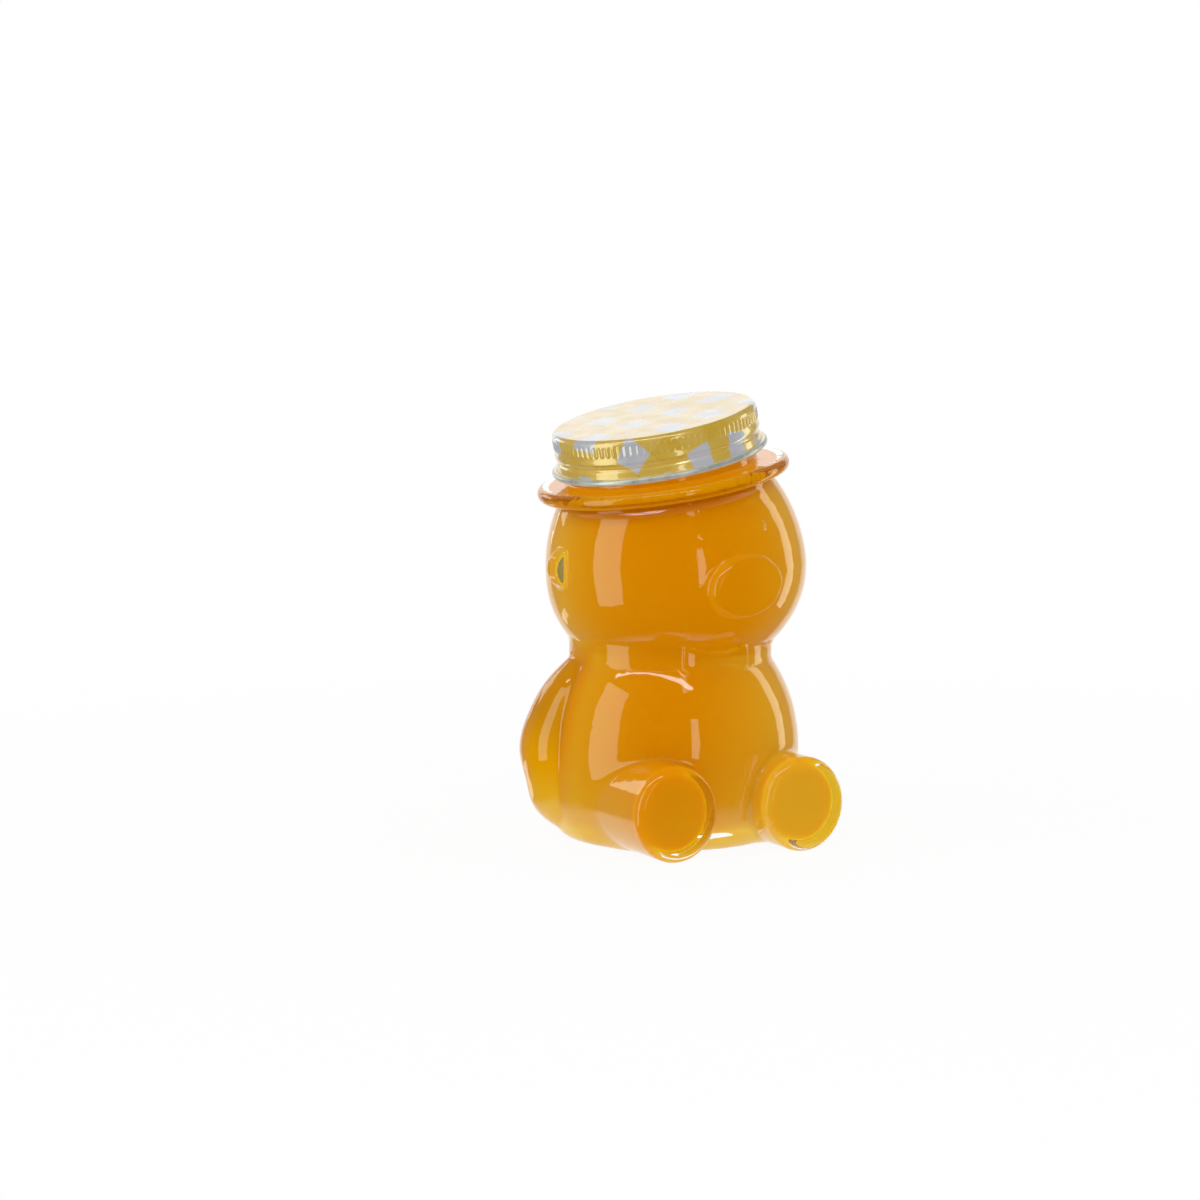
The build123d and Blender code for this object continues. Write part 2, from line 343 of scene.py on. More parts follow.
@dataclass(frozen=True)
class Egg:
    """A turned egg about Z: an oval of the radius, with one height above its middle and one below."""

    radius: float
    rise: float
    drop: float

    def less(self, wall: float) -> "Egg":
        """The egg inside a wall."""
        return Egg(self.radius - wall, self.rise - wall, self.drop - wall)

    def distance(self, points: Array) -> Array:
        """Distance to the egg."""
        height = np.where(points[:, 2] > 0.0, self.rise, self.drop)
        return oval_distance(from_axis(points), points[:, 2], self.radius, height)

    def shell(self, spacing: float) -> Shell:
        """The egg on a grid of turns and levels."""
        rows = max(12, int(math.pi * self.radius / spacing))
        climb = np.linspace(-0.5, 0.5, rows + 2)[1:-1] * math.pi
        height = np.where(climb > 0, self.rise, self.drop) * np.sin(climb)
        return turned_shell(self.radius * np.cos(climb), height, 2 * rows)


def rod_shell(low: float, high: float, radius: float | tuple[float, float], spacing: float) -> Shell:
    """Rod about Z between two heights, its flat ends filled by three smaller rings.

    Args:
        low: Height of its lower end.
        high: Height of its upper end.
        radius: Its radius, or its half widths along X and Y.
        spacing: The distance between its points.

    Returns:
        The closed rod.
    """
    oval = radius if isinstance(radius, tuple) else (radius, radius)
    rings = max(3, int((high - low) / spacing))
    inward = np.array([0.9, 0.6, 0.3])
    height = np.concatenate([np.full(3, low), np.linspace(low, high, rings), np.full(3, high)])
    reach = np.concatenate([inward[::-1], np.ones(rings), inward])
    return turned_shell(reach, height, max(16, int(FULL_TURN * max(oval) / spacing)), oval)


def rounded_bar(count: int, power: float) -> tuple[Array, Array]:
    """Outline of a bar with rounded corners: cosine and sine, each raised to a power but keeping its sign."""
    turn = np.linspace(0.0, FULL_TURN, count, endpoint=False)
    waves = (np.cos(turn), np.sin(turn))
    return tuple(np.sign(wave) * np.abs(wave) ** power for wave in waves)


def facing_front(shell: Shell) -> Shell:
    """A shell about Z, turned so that its Z points to the front, -Y, and its Y points up."""
    return shell.with_points(np.stack([shell.points[:, 0], -shell.points[:, 2], shell.points[:, 1]], axis=1))


def in_scene(name: str, data: bpy.types.ID) -> Object:
    """A new object that holds a mesh, a lamp or a camera."""
    made = bpy.data.objects.new(name, data)
    bpy.context.scene.collection.objects.link(made)
    return made


def piece(name: str, data: Mesh) -> Object:
    """A smooth-shaded object at the origin."""
    data.shade_smooth()
    return in_scene(name, data)


def finished_mesh(made: Object, name: str) -> Mesh:
    """The object's mesh with its modifiers applied; the object itself is removed."""
    seen = made.evaluated_get(bpy.context.evaluated_depsgraph_get())
    data = bpy.data.meshes.new_from_object(seen)
    data.name = name
    bpy.data.objects.remove(made)
    return data


def read_values(items: bpy.types.bpy_prop_collection, name: str, kind: type, width: int) -> Array:
    """One property of every item of a mesh, as rows of the given width."""
    flat = np.empty(len(items) * width, kind)
    items.foreach_get(name, flat)
    return flat.reshape(-1, width)


def read_points(data: Mesh) -> Array:
    """A mesh's points in millimetres."""
    return read_values(data.vertices, "co", np.float32, 3).astype(float) / MM


def face_middles(data: Mesh) -> Array:
    """The middles of a mesh's faces in millimetres."""
    return read_values(data.polygons, "center", np.float32, 3).astype(float) / MM


def write_points(data: Mesh, points: Array) -> None:
    """Puts points, in millimetres, back into a mesh."""
    data.vertices.foreach_set("co", (points * MM).astype(np.float32).ravel())
    data.update()


def dress_faces(data: Mesh, finishes: list[Material], slots: Array) -> None:
    """Gives a mesh its finishes, and each face the number of its own finish."""
    data.materials.clear()
    for finish in finishes:
        data.materials.append(finish)
    data.polygons.foreach_set("material_index", slots.astype(np.int32))
    data.update()


def cast(name: str, shells: list[Shell], shape: Field, voxel: float) -> Mesh:
    """One closed skin round several overlapping shells, settled onto their blended distance field.

    Args:
        name: Name of the mesh.
        shells: Closed shells near the surface, in millimetres.
        shape: The blended field.
        voxel: Spacing of the skin's points, in millimetres.

    Returns:
        The skin as a mesh in metres.
    """
    rough = piece(name + "_rough", joined(shells).mesh(name + "_rough"))
    remesh = rough.modifiers.new("skin", "REMESH")
    remesh.mode = "VOXEL"
    remesh.voxel_size = voxel * MM
    remesh.use_smooth_shade = True
    data = finished_mesh(rough, name)
    write_points(data, settle(read_points(data), shape))
    return data


def cut(name: str, base: Mesh, tool: Mesh) -> Mesh:
    """The base less the tool, both closed skins."""
    body = piece(name + "_base", base)
    taken = piece(name + "_tool", tool)
    hollow = body.modifiers.new("hollow", "BOOLEAN")
    hollow.operation = "DIFFERENCE"
    hollow.solver = "MANIFOLD"
    hollow.object = taken
    data = finished_mesh(body, name)
    bpy.data.objects.remove(taken)
    return data


# Shader building


@dataclass
class Nodes:
    """Short calls for one node tree, whose nodes are laid out from left to right."""

    tree: Tree
    count: int = 0

    SPACING = 190

    def add(self, kind: str, settings: dict | None = None, **inputs) -> Node:
        """A node with its settings, and its inputs linked or set by name.

        Args:
            kind: Blender's name for the node.
            settings: Properties of the node.
            **inputs: Socket names, with underscores for spaces, and a socket or a value for each.

        Returns:
            The node.
        """
        node = self.tree.nodes.new(kind)
        node.location = (self.count * self.SPACING, -(self.count % 4) * self.SPACING)
        self.count += 1
        for key, value in (settings or {}).items():
            setattr(node, key, value)
        for key, value in inputs.items():
            self.feed(node.inputs[key.replace("_", " ")], value)
        return node

    def feed(self, socket: Socket, value) -> None:
        """Links a socket to another, or sets its value."""
        if isinstance(value, Socket):
            self.tree.links.new(value, socket)
        else:
            socket.default_value = value

    def feed_first(self, node: Node, *values) -> Node:
        """Feeds a node's first inputs in their order."""
        for socket, value in zip(node.inputs, values):
            self.feed(socket, value)
        return node

    def use(self, group: Tree, **inputs) -> Node:
        """A node that stands for a group."""
        return self.add("ShaderNodeGroup", {"node_tree": group}, **inputs)

    def maths(self, operation: str, *values, clamp: bool = False) -> Socket:
        """A Math node's result."""
        settings = {"operation": operation, "use_clamp": clamp}
        return self.feed_first(self.add("ShaderNodeMath", settings), *values).outputs[0]

    def vector(self, operation: str, *values) -> Node:
        """A Vector Math node."""
        return self.feed_first(self.add("ShaderNodeVectorMath", {"operation": operation}), *values)

    def blend(self, share, first, second) -> Socket:
        """A colour between two colours."""
        node = self.add("ShaderNodeMix", {"data_type": "RGBA"})
        for name, value in (("Factor", share), (6, first), (7, second)):
            self.feed(node.inputs[name], value)
        return node.outputs[2]

    def spread_between(self, value, low: float, high: float, to_low: float = 0.0,
                       to_high: float = 1.0) -> Socket:
        """A value carried smoothly from one range to another."""
        node = self.add("ShaderNodeMapRange", {"interpolation_type": "SMOOTHSTEP"})
        return self.feed_first(node, value, low, high, to_low, to_high).outputs[0]

    def around(self, mask: Socket, middle: float, above: float) -> Socket:
        """A number that a mask varies, from 0.05 under its middle value to some way above it."""
        return self.spread_between(mask, 0.3, 0.7, middle - 0.05, middle + above)

    def mix_shaders(self, share, first: Node, second: Node) -> Node:
        """A shader between two shaders."""
        return self.feed_first(self.add("ShaderNodeMixShader"), share, first.outputs[0], second.outputs[0])

    def rays(self, *kinds: RayKind) -> Socket:
        """One where the ray is any of the kinds, and none elsewhere."""
        path = self.add("ShaderNodeLightPath")
        share = path.outputs[kinds[0].value]
        for kind in kinds[1:]:
            share = self.maths("MAXIMUM", share, path.outputs[kind.value])
        return share

    def late_rays(self) -> Socket:
        """One where the ray has been reflected more often than MOST_REFLECTIONS allows."""
        path = self.add("ShaderNodeLightPath")
        return self.maths("GREATER_THAN", path.outputs["Glossy Depth"], MOST_REFLECTIONS)


def emptied(owner: Material | bpy.types.World) -> Nodes:
    """The emptied node tree of a material or a world."""
    owner.use_nodes = True
    owner.node_tree.nodes.clear()
    return Nodes(owner.node_tree)


def new_group(name: str, inputs: dict[str, float | None],
              outputs: dict[str, str]) -> tuple[Tree, Nodes, Node, Node]:
    """An empty node group.

    Args:
        name: Name of the group.
        inputs: The inputs and the numbers they start with, or None for a vector.
        outputs: The outputs and their kinds of socket.

    Returns:
        The group, its nodes, its input node and its output node.
    """
    group = bpy.data.node_groups.new(name, "ShaderNodeTree")
    for label, start in inputs.items():
        kind = "NodeSocketVector" if start is None else "NodeSocketFloat"
        socket = group.interface.new_socket(label, in_out="INPUT", socket_type=kind)
        if start is not None:
            socket.default_value = start
    for label, kind in outputs.items():
        group.interface.new_socket(label, in_out="OUTPUT", socket_type=kind)
    nodes = Nodes(group)
    return group, nodes, nodes.add("NodeGroupInput"), nodes.add("NodeGroupOutput")


def grain_group() -> Tree:
    """Group that gives a mask of soft grain and a rippled normal, both from Object coordinates.

    Inputs are Scale, in cycles for each metre, Detail, and Ripple, the height of the waves in metres.
    """
    group, nodes, given, result = new_group(
        "moulded_grain", {"Scale": 60.0, "Detail": 2.0, "Ripple": 0.0001},
        {"Mask": "NodeSocketFloat", "Normal": "NodeSocketVector"})
    where = nodes.add("ShaderNodeTexCoord")
    noise = nodes.add("ShaderNodeTexNoise", Vector=where.outputs["Object"], Scale=given.outputs["Scale"],
                      Detail=given.outputs["Detail"], Roughness=0.5)
    bump = nodes.add("ShaderNodeBump", Strength=1.0, Distance=given.outputs["Ripple"],
                     Height=noise.outputs["Fac"])
    nodes.feed(result.inputs["Mask"], noise.outputs["Fac"])
    nodes.feed(result.inputs["Normal"], bump.outputs["Normal"])
    return group


def gingham_group() -> Tree:
    """Group that gives a woven check: the share of white squares, and of the paler stripes between.

    The input vector is a place on the flat printed sheet, counted in repeats. A square is white where
    both directions are in their white half, and pale where only one of them is.
    """
    group, nodes, given, result = new_group(
        "gingham_check", {"Sheet": None, "Edge": 0.01},
        {"White": "NodeSocketFloat", "Pale": "NodeSocketFloat"})
    edge = given.outputs["Edge"]
    parts = nodes.add("ShaderNodeSeparateXYZ", Vector=given.outputs["Sheet"])
    stripes = []
    for axis in ("X", "Y"):
        near = nodes.maths("PINGPONG", parts.outputs[axis], 0.5)
        past = nodes.maths("SUBTRACT", near, nodes.maths("SUBTRACT", 0.25, edge))
        dark = nodes.maths("DIVIDE", past, nodes.maths("MULTIPLY", edge, 2.0), clamp=True)
        stripes.append(nodes.maths("SUBTRACT", 1.0, dark))
    nodes.feed(result.inputs["White"], nodes.maths("MULTIPLY", *stripes))
    nodes.feed(result.inputs["Pale"], nodes.maths("MAXIMUM", *stripes))
    return group


# Finishes


@dataclass(frozen=True)
class Finish:
    """A material, made by its shader method from node groups."""

    name: str

    def build(self, *groups: Tree) -> Material:
        """Makes the material.

        Args:
            *groups: The node groups that the finish's shader asks for.

        Returns:
            The material.
        """
        made = bpy.data.materials.new(self.name)
        nodes = emptied(made)
        nodes.add("ShaderNodeOutputMaterial", Surface=self.shader(nodes, *groups).outputs[0])
        return made

    def shader(self, nodes: Nodes, *groups: Tree) -> Node:
        """The surface's shader, which each kind of finish makes for itself."""
        raise NotImplementedError


@dataclass(frozen=True)
class GlassFinish(Finish):
    """Clear container glass, pressed in a mould."""

    tint: Colour = (0.985, 0.99, 0.985, 1.0)
    roughness: float = 0.015
    bend: float = 1.5
    ripple: float = 0.0001
    ripple_scale: float = 165.0

    def shader(self, nodes: Nodes, grain: Tree) -> Node:
        """Glass that lets the light of lamps straight through to what it holds.

        A ray caught inside goes straight on after MOST_REFLECTIONS, so that none is lost.
        """
        wave = nodes.use(grain, Scale=self.ripple_scale, Ripple=self.ripple)
        glass = nodes.add(
            "ShaderNodeBsdfPrincipled", Base_Color=self.tint, Roughness=self.roughness,
            IOR=self.bend, Transmission_Weight=1.0, Normal=wave.outputs["Normal"])
        straight = nodes.maths("MAXIMUM", nodes.rays(RayKind.SHADOW, RayKind.DIFFUSE), nodes.late_rays())
        return nodes.mix_shaders(straight, glass, nodes.add("ShaderNodeBsdfTransparent", Color=self.tint))


@dataclass(frozen=True)
class HoneyFinish(Finish):
    """Thick honey that scatters the light inside it."""

    # shaded is painted shade, pale is painted light from behind, deep is the honey's colour where its way
    # through is longest
    shaded: Colour = (0.53, 0.205, 0.004, 1.0)
    deep: Colour = (0.709, 0.272, 0.0, 1.0)
    pale: Colour = (0.77, 0.48, 0.03, 1.0)
    scattering: float = 1.0
    scatter: float = 0.005
    scatter_radius: Triple = (1.0, 0.7, 0.25)
    roughness: float = 0.25
    bend: float = 1.49
    shine: float = 0.0
    cloud_scale: float = 14.0
    drift: float = 0.08

    def shader(self, nodes: Nodes, grain: Tree) -> Node:
        """Scattering honey whose colour drifts softly through it, made paler by painted light from behind and
        darker by painted shade, both read from the points' map.
        """
        cloud = nodes.use(grain, Scale=self.cloud_scale, Detail=1.0, Ripple=0.0)
        drift = nodes.spread_between(cloud.outputs["Mask"], 0.30, 0.80, 0.0, self.drift)
        thin = nodes.add("ShaderNodeAttribute", {"attribute_name": HoneyFill.PAINTED_SHADING_MAP})
        ramp = nodes.add("ShaderNodeValToRGB", Fac=nodes.maths("ADD", thin.outputs["Fac"], drift))
        stops = ramp.color_ramp.elements
        stops[0].color = self.shaded
        stops[1].color = self.pale
        stops.new(HoneyFill.FULL_DEPTH).color = self.deep
        return nodes.add(
            "ShaderNodeBsdfPrincipled", Base_Color=ramp.outputs["Color"], Roughness=self.roughness,
            IOR=self.bend, Specular_IOR_Level=self.shine, Subsurface_Weight=self.scattering,
            Subsurface_Radius=self.scatter_radius, Subsurface_Scale=self.scatter)


@dataclass(frozen=True)
class PrintedTinFinish(Finish):
    """Lacquered tinplate with a printed check."""

    gold: Colour = (0.66, 0.42, 0.03, 1.0)
    half: Colour = (0.68, 0.45, 0.06, 1.0)
    white: Colour = (0.52, 0.525, 0.56, 1.0)
    metal: float = 0.12
    roughness: float = 0.30
    bend: float = 1.7
    lacquer_bend: float = 1.9
    lacquer_roughness: float = 0.07
    grain_scale: float = 160.0
    ripple: float = 0.000001

    def shader(self, nodes: Nodes, grain: Tree, check: Tree) -> Node:
        """Print on lacquered tin, from the flat sheet's own coordinates."""
        sheet = nodes.add("ShaderNodeUVMap", {"uv_map": TwistLid.SHEET_MAP})
        weave = nodes.use(check, Sheet=sheet.outputs["UV"])
        soft = nodes.use(grain, Scale=self.grain_scale, Detail=2.0, Ripple=self.ripple)
        ground = nodes.blend(weave.outputs["Pale"], self.gold, self.half)
        inked = nodes.blend(weave.outputs["White"], ground, self.white)
        colour = nodes.vector("SCALE", inked)
        nodes.feed(colour.inputs["Scale"], nodes.spread_between(soft.outputs["Mask"], 0.3, 0.8, 0.98, 1.03))
        rough = nodes.around(soft.outputs["Mask"], self.roughness, 0.08)
        return nodes.add(
            "ShaderNodeBsdfPrincipled", Base_Color=colour.outputs[0], Metallic=self.metal,
            Roughness=rough, IOR=self.bend, Coat_Weight=1.0, Coat_Roughness=self.lacquer_roughness,
            Coat_IOR=self.lacquer_bend, Normal=soft.outputs["Normal"])


@dataclass(frozen=True)
class PlainFinish(Finish):
    """A plain lacquered, rolled or rubbery surface with a fine grain."""

    light: Colour
    dark: Colour
    metal: float
    roughness: float
    grain_scale: float
    ripple: float

    def shader(self, nodes: Nodes, grain: Tree) -> Node:
        """The finish, its colour and roughness varied by the grain."""
        soft = nodes.use(grain, Scale=self.grain_scale, Detail=3.0, Ripple=self.ripple)
        share = nodes.spread_between(soft.outputs["Mask"], 0.35, 0.65)
        rough = nodes.around(soft.outputs["Mask"], self.roughness, 0.05)
        return nodes.add(
            "ShaderNodeBsdfPrincipled", Base_Color=nodes.blend(share, self.dark, self.light),
            Metallic=self.metal, Roughness=rough, Normal=soft.outputs["Normal"])


# The bear


@dataclass(frozen=True)
class Mould:
    """The bear's own sizes, in millimetres and degrees."""

    belly_radius: float = 39.6
    belly_height: float = 28.0
    belly_rise: float = 44.0
    belly_drop: float = 55.0
    heel: float = 5.0
    push_up_radius: float = 24.0
    push_up_depth: float = 2.0
    wall: float = 3.0
    floor: float = 6.0
    inner_bend: float = 5.0
    collar_radius: float = 31.2
    collar_low: float = 55.4
    collar_high: float = 61.6
    collar_edge: float = 0.9
    seam_radius: float = 0.8
    throat_radius: float = 26.8
    bow_half_width: float = 10.8
    bow_half_height: float = 4.1
    bow_waist: float = 1.5
    bow_knot: float = 2.3
    bow_height: float = 58.0
    bow_proud: float = 1.3
    leg_half_width: float = 13.3
    leg_half_height: float = 14.3
    leg_spread: float = 21.4
    leg_reach: float = 47.7
    leg_clear: float = 0.3
    sole_edge: float = 2.4
    sole_thickness: float = 5.0
    leg_wall: float = 2.2
    leg_floor: float = 3.0
    leg_bend: float = 0.8
    arm_low: float = 1.5
    arm_high: float = 57.5
    arm_depth: float = 12.0
    arm_half_width: float = 14.5
    arm_height_shares: tuple[float, ...] = (0.0, 0.10, 0.28, 0.47, 0.68, 0.85, 1.0)
    arm_reach_shares: tuple[float, ...] = (0.83, 1.02, 1.13, 1.185, 1.11, 0.975, 0.77)
    arm_size_shares: tuple[float, ...] = (0.50, 0.78, 0.94, 1.0, 0.90, 0.74, 0.45)
    arm_behind_degrees: tuple[float, ...] = (18.0, 18.0, 17.0, 16.0, 14.0, 12.0, 10.0)
    head_radius: float = 40.2
    head_rise: float = 45.0
    head_drop: float = 33.5
    brim_height: float = 29.3
    brim_radius: float = 38.9
    brim_thickness: float = 4.2
    brim_edge: float = 2.0
    brim_core_radius: float = 35.4
    brim_core_half_height: float = 0.75
    brim_core_edge: float = 0.5
    muzzle_half_width: float = 12.1
    muzzle_half_height: float = 9.2
    muzzle_reach: float = 43.0
    muzzle_height: float = -0.9
    muzzle_pitch_degrees: float = 4.0
    muzzle_edge: float = 1.9
    eye_radius: float = 2.1
    eye_proud: float = 0.8
    eye_height: float = 14.6
    eye_turn_degrees: float = 16.0
    ear_radius: float = 6.8
    ear_thickness: float = 6.0
    ear_reach: float = 42.9
    ear_height: float = 8.5
    ear_edge: float = 0.9
    neck_radius: float = 29.3
    mouth_radius: float = 26.0
    rim_height: float = 18.0
    rim_edge: float = 0.9
    start_count: int = 4
    lead: float = 14.8
    ridge_span_degrees: float = 62.0
    ridge_proud: float = 1.2
    ridge_height: float = 8.1
    ridge_half_width: float = 1.15
    throat_half_height: float = 13.85
    throat_low: float = 43.4
    throat_high: float = 67.6
    shoulder_bend: float = 4.0
    bore_half_height: float = 21.6
    bow_half_depth: float = 3.0
    bow_sunk: float = 1.5
    bow_edge: float = 0.6
    knot_join: float = 0.4
    bow_join: float = 0.4
    arm_join: float = 0.8
    leg_join: float = 2.2
    collar_join: float = 0.35
    head_join: float = 0.5
    seam_edge: float = 0.3
    crown_edge: float = 0.5
    muzzle_join: float = 1.0
    eye_join: float = 0.3
    ear_join: float = 0.4
    brim_join: float = 2.6
    neck_join: float = 1.4
    ridge_fade_degrees: float = 4.0
    neck_zone: float = 27.835
    room_join: float = 3.0
    core_join: float = 0.6
    bore_join: float = 2.0
    fill_level: float = 121.947

    @property
    def belly(self) -> Egg:
        """The belly's egg, about belly_height."""
        return Egg(self.belly_radius, self.belly_rise, self.belly_drop)

    @property
    def skull(self) -> Egg:
        """The head's egg, about the head's middle."""
        return Egg(self.head_radius, self.head_rise, self.head_drop)

    @property
    def head(self) -> Lean:
        """The head's leaning axis, from the head's middle."""
        return Lean((2.5, 0.9, 82.1), 9.9, 2.2, 3.5)

    @property
    def mouth(self) -> Lean:
        """The mouth's leaning axis, from the middle of the brim."""
        return Lean(self.head.along(self.brim_height), 12.3, 4.0)

    @property
    def collar_middle(self) -> float:
        """Height of the collar's middle."""
        return (self.collar_low + self.collar_high) / 2.0

    @property
    def collar_half(self) -> float:
        """Half the collar's height."""
        return (self.collar_high - self.collar_low) / 2.0

    @property
    def shoulder(self) -> float:
        """Height of the hollow's shoulder under the brim, up the head's axis."""
        return self.brim_height - self.brim_thickness


@dataclass(frozen=True)
class GlassBear:
    """The glass jar: one moulding with the hollow for the honey."""

    mould: Mould

    SKIN = 0.72
    INSIDE = 1.5

    def leg_rod(self, inset: float | None = None) -> tuple[float, float, float, float]:
        """Half width, half height, middle height and reach of a leg, or of its hollow.

        Args:
            inset: How far the hollow is drawn in, or None for the leg's outside.

        Returns:
            The four sizes, in millimetres.
        """
        m = self.mould
        low, high = m.leg_clear, m.leg_clear + 2.0 * m.leg_half_height
        if inset is None:
            return m.leg_half_width, m.leg_half_height, (low + high) / 2.0, m.leg_reach
        low, high = low + m.leg_floor + inset, high - m.leg_wall - inset
        reach = m.leg_reach - m.sole_thickness - inset
        return m.leg_half_width - m.leg_wall - inset, (high - low) / 2.0, (low + high) / 2.0, reach

    def leg_field(self, points: Array, side: Side, edge: float, inset: float | None = None) -> Array:
        """Distance to one leg or its hollow: an oval rod along -Y with a rounded front edge."""
        half_width, half_height, middle, reach = self.leg_rod(inset)
        across = oval_distance(points[:, 0] - side.value * self.mould.leg_spread,
                               points[:, 2] - middle, half_width, half_height)
        return round_meet(across, np.maximum(-points[:, 1] - reach, points[:, 1]), edge)

    def arm_rows(self, share: Array) -> tuple[Array, Array, Array]:
        """The arm's outermost reach, size and direction behind the side, at shares of its height."""
        m = self.mould
        knots = np.array(m.arm_height_shares)
        reach = spline_through(knots, np.array(m.arm_reach_shares), share) * m.belly_radius
        size = spline_through(knots, np.array(m.arm_size_shares), share)
        behind = np.radians(spline_through(knots, np.array(m.arm_behind_degrees), share))
        return reach, size, behind

    def arm_field(self, points: Array, side: Side) -> Array:
        """Distance to one arm: level ovals whose place and size follow splines up the arm."""
        m = self.mould
        share = unit((points[:, 2] - m.arm_low) / (m.arm_high - m.arm_low))
        reach, size, behind = self.arm_rows(share)
        depth = m.arm_depth * size
        outward = points[:, 0] * side.value * np.cos(behind) + points[:, 1] * np.sin(behind)
        tangent = -points[:, 0] * side.value * np.sin(behind) + points[:, 1] * np.cos(behind)
        level = oval_distance(outward - reach + depth, tangent, depth, m.arm_half_width * size)
        middle = (m.arm_low + m.arm_high) / 2.0
        ends = np.abs(points[:, 2] - middle) - (m.arm_high - m.arm_low) / 2.0
        return np.maximum(level, ends)

    def bow_field(self, points: Array) -> Array:
        """Distance to the bow tie: an hourglass and a knot, wrapped round the collar."""
        m = self.mould
        turn = np.arctan2(points[:, 0], -points[:, 1])
        along = np.abs(turn * m.collar_radius)
        up = np.abs(points[:, 2] - m.bow_height)
        rise = m.bow_waist + (m.bow_half_height - m.bow_waist) * unit(along / m.bow_half_width)
        wing = np.maximum(up - rise, along - m.bow_half_width)
        knot = np.maximum(up, along) - m.bow_knot
        out = from_axis(points) - m.collar_radius - m.bow_proud
        return round_meet(soft_join(wing, knot, m.knot_join), out, m.bow_edge)

    def ridge_lift(self, spot: Array) -> Array:
        """How far the thread ridges lift the neck's surface, at places read along the mouth's axis.

        Each ridge climbs by the lead for each turn, is a rounded bar across its width, and fades at
        its two ends.
        """
        m = self.mould
        turn = np.degrees(np.arctan2(spot[:, 1], spot[:, 0]))
        step = 360.0 / m.start_count
        along = (turn + step / 2.0) % step - step / 2.0
        off = spot[:, 2] - m.ridge_height - m.lead * along / 360.0
        bar = unit(1.0 - (off / m.ridge_half_width) ** 2)
        end = eased((m.ridge_span_degrees / 2.0 - np.abs(along)) / m.ridge_fade_degrees)
        return m.ridge_proud * np.sqrt(bar) * end

    def finish_field(self, points: Array) -> Array:
        """Distance to the neck, its rounded rim and its thread ridges."""
        m = self.mould
        spot = m.mouth.read(points)
        wall = from_axis(spot) - m.neck_radius - self.ridge_lift(spot)
        return np.maximum(round_meet(wall, spot[:, 2] - m.rim_height, m.rim_edge), -spot[:, 2] - m.rim_edge)

    def muzzle_field(self, spot: Array) -> Array:
        """Distance to the muzzle: an oval rod that slopes down to its front end, with a rounded edge."""
        m = self.mould
        pitch = math.radians(m.muzzle_pitch_degrees)
        up = spot[:, 2] - m.muzzle_height
        ahead = -spot[:, 1] * math.cos(pitch) - up * math.sin(pitch)
        above = up * math.cos(pitch) - (spot[:, 1] + m.muzzle_reach) * math.sin(pitch)
        across = oval_distance(spot[:, 0], above, m.muzzle_half_width, m.muzzle_half_height)
        return round_meet(across, np.maximum(ahead - m.muzzle_reach, -ahead), m.muzzle_edge)

    def head_field(self, points: Array) -> Array:
        """Distance to the head with its brim, muzzle, eyes, ears and finish."""
        m = self.mould
        spot = m.head.read(points)
        crown = soft_meet(m.skull.distance(spot), spot[:, 2] - m.brim_height, m.crown_edge)
        whole = soft_join(crown, self.muzzle_field(spot), m.muzzle_join)
        for side in Side:
            whole = soft_join(whole, self.eye_field(spot, side), m.eye_join)
            whole = soft_join(whole, self.ear_field(spot, side), m.ear_join)
        brim = disc_distance(spot - [0, 0, m.brim_height], m.brim_radius, m.brim_thickness / 2.0, m.brim_edge)
        whole = soft_join(whole, brim, m.brim_join)
        return soft_join(whole, self.finish_field(points), m.neck_join)

    def eye_place(self, side: Side) -> Array:
        """Middle of an eye's ball, along the head's axes."""
        m = self.mould
        out = m.head_radius * math.sqrt(1.0 - (m.eye_height / m.head_rise) ** 2) - m.eye_radius + m.eye_proud
        turn = math.radians(side.value * m.eye_turn_degrees)
        return np.array([out * math.sin(turn), -out * math.cos(turn), m.eye_height])

    def eye_field(self, spot: Array, side: Side) -> Array:
        """Distance to one eye, a ball."""
        return np.sqrt(((spot - self.eye_place(side)) ** 2).sum(axis=1)) - self.mould.eye_radius

    def ear_field(self, spot: Array, side: Side) -> Array:
        """Distance to one ear, a disc that faces the front."""
        m = self.mould
        here = np.stack([
            spot[:, 0] - side.value * (m.ear_reach - m.ear_radius), spot[:, 2] - m.ear_height,
            spot[:, 1]], axis=1)
        return disc_distance(here, m.ear_radius, m.ear_thickness / 2.0, m.ear_edge)

    def outside(self, points: Array) -> Array:
        """Distance to the whole outer form.

        Two surfaces at distances a and b meet where hypot(a, b) is zero, so a fine groove along the
        collar's two seams is hypot(a, b) less the groove's radius, taken away.
        """
        m = self.mould
        belly = m.belly.distance(points - [0, 0, m.belly_height])
        for side in Side:
            belly = soft_join(belly, self.arm_field(points, side), m.arm_join)
        dome = m.push_up_depth * unit(1.0 - (from_axis(points) / m.push_up_radius) ** 2)
        body = soft_meet(belly, dome - points[:, 2], m.heel)
        for side in Side:
            body = soft_join(body, self.leg_field(points, side, m.sole_edge), m.leg_join)
        band = disc_distance(points - [0, 0, m.collar_middle], m.collar_radius, m.collar_half, m.collar_edge)
        head = self.head_field(points)
        seam = np.minimum(np.hypot(band, body), np.hypot(band, head)) - m.seam_radius
        body = soft_join(soft_join(body, band, m.collar_join), head, m.head_join)
        whole = soft_join(soft_meet(body, -seam, m.seam_edge), self.bow_field(points), m.bow_join)
        return np.maximum(whole, -points[:, 2])

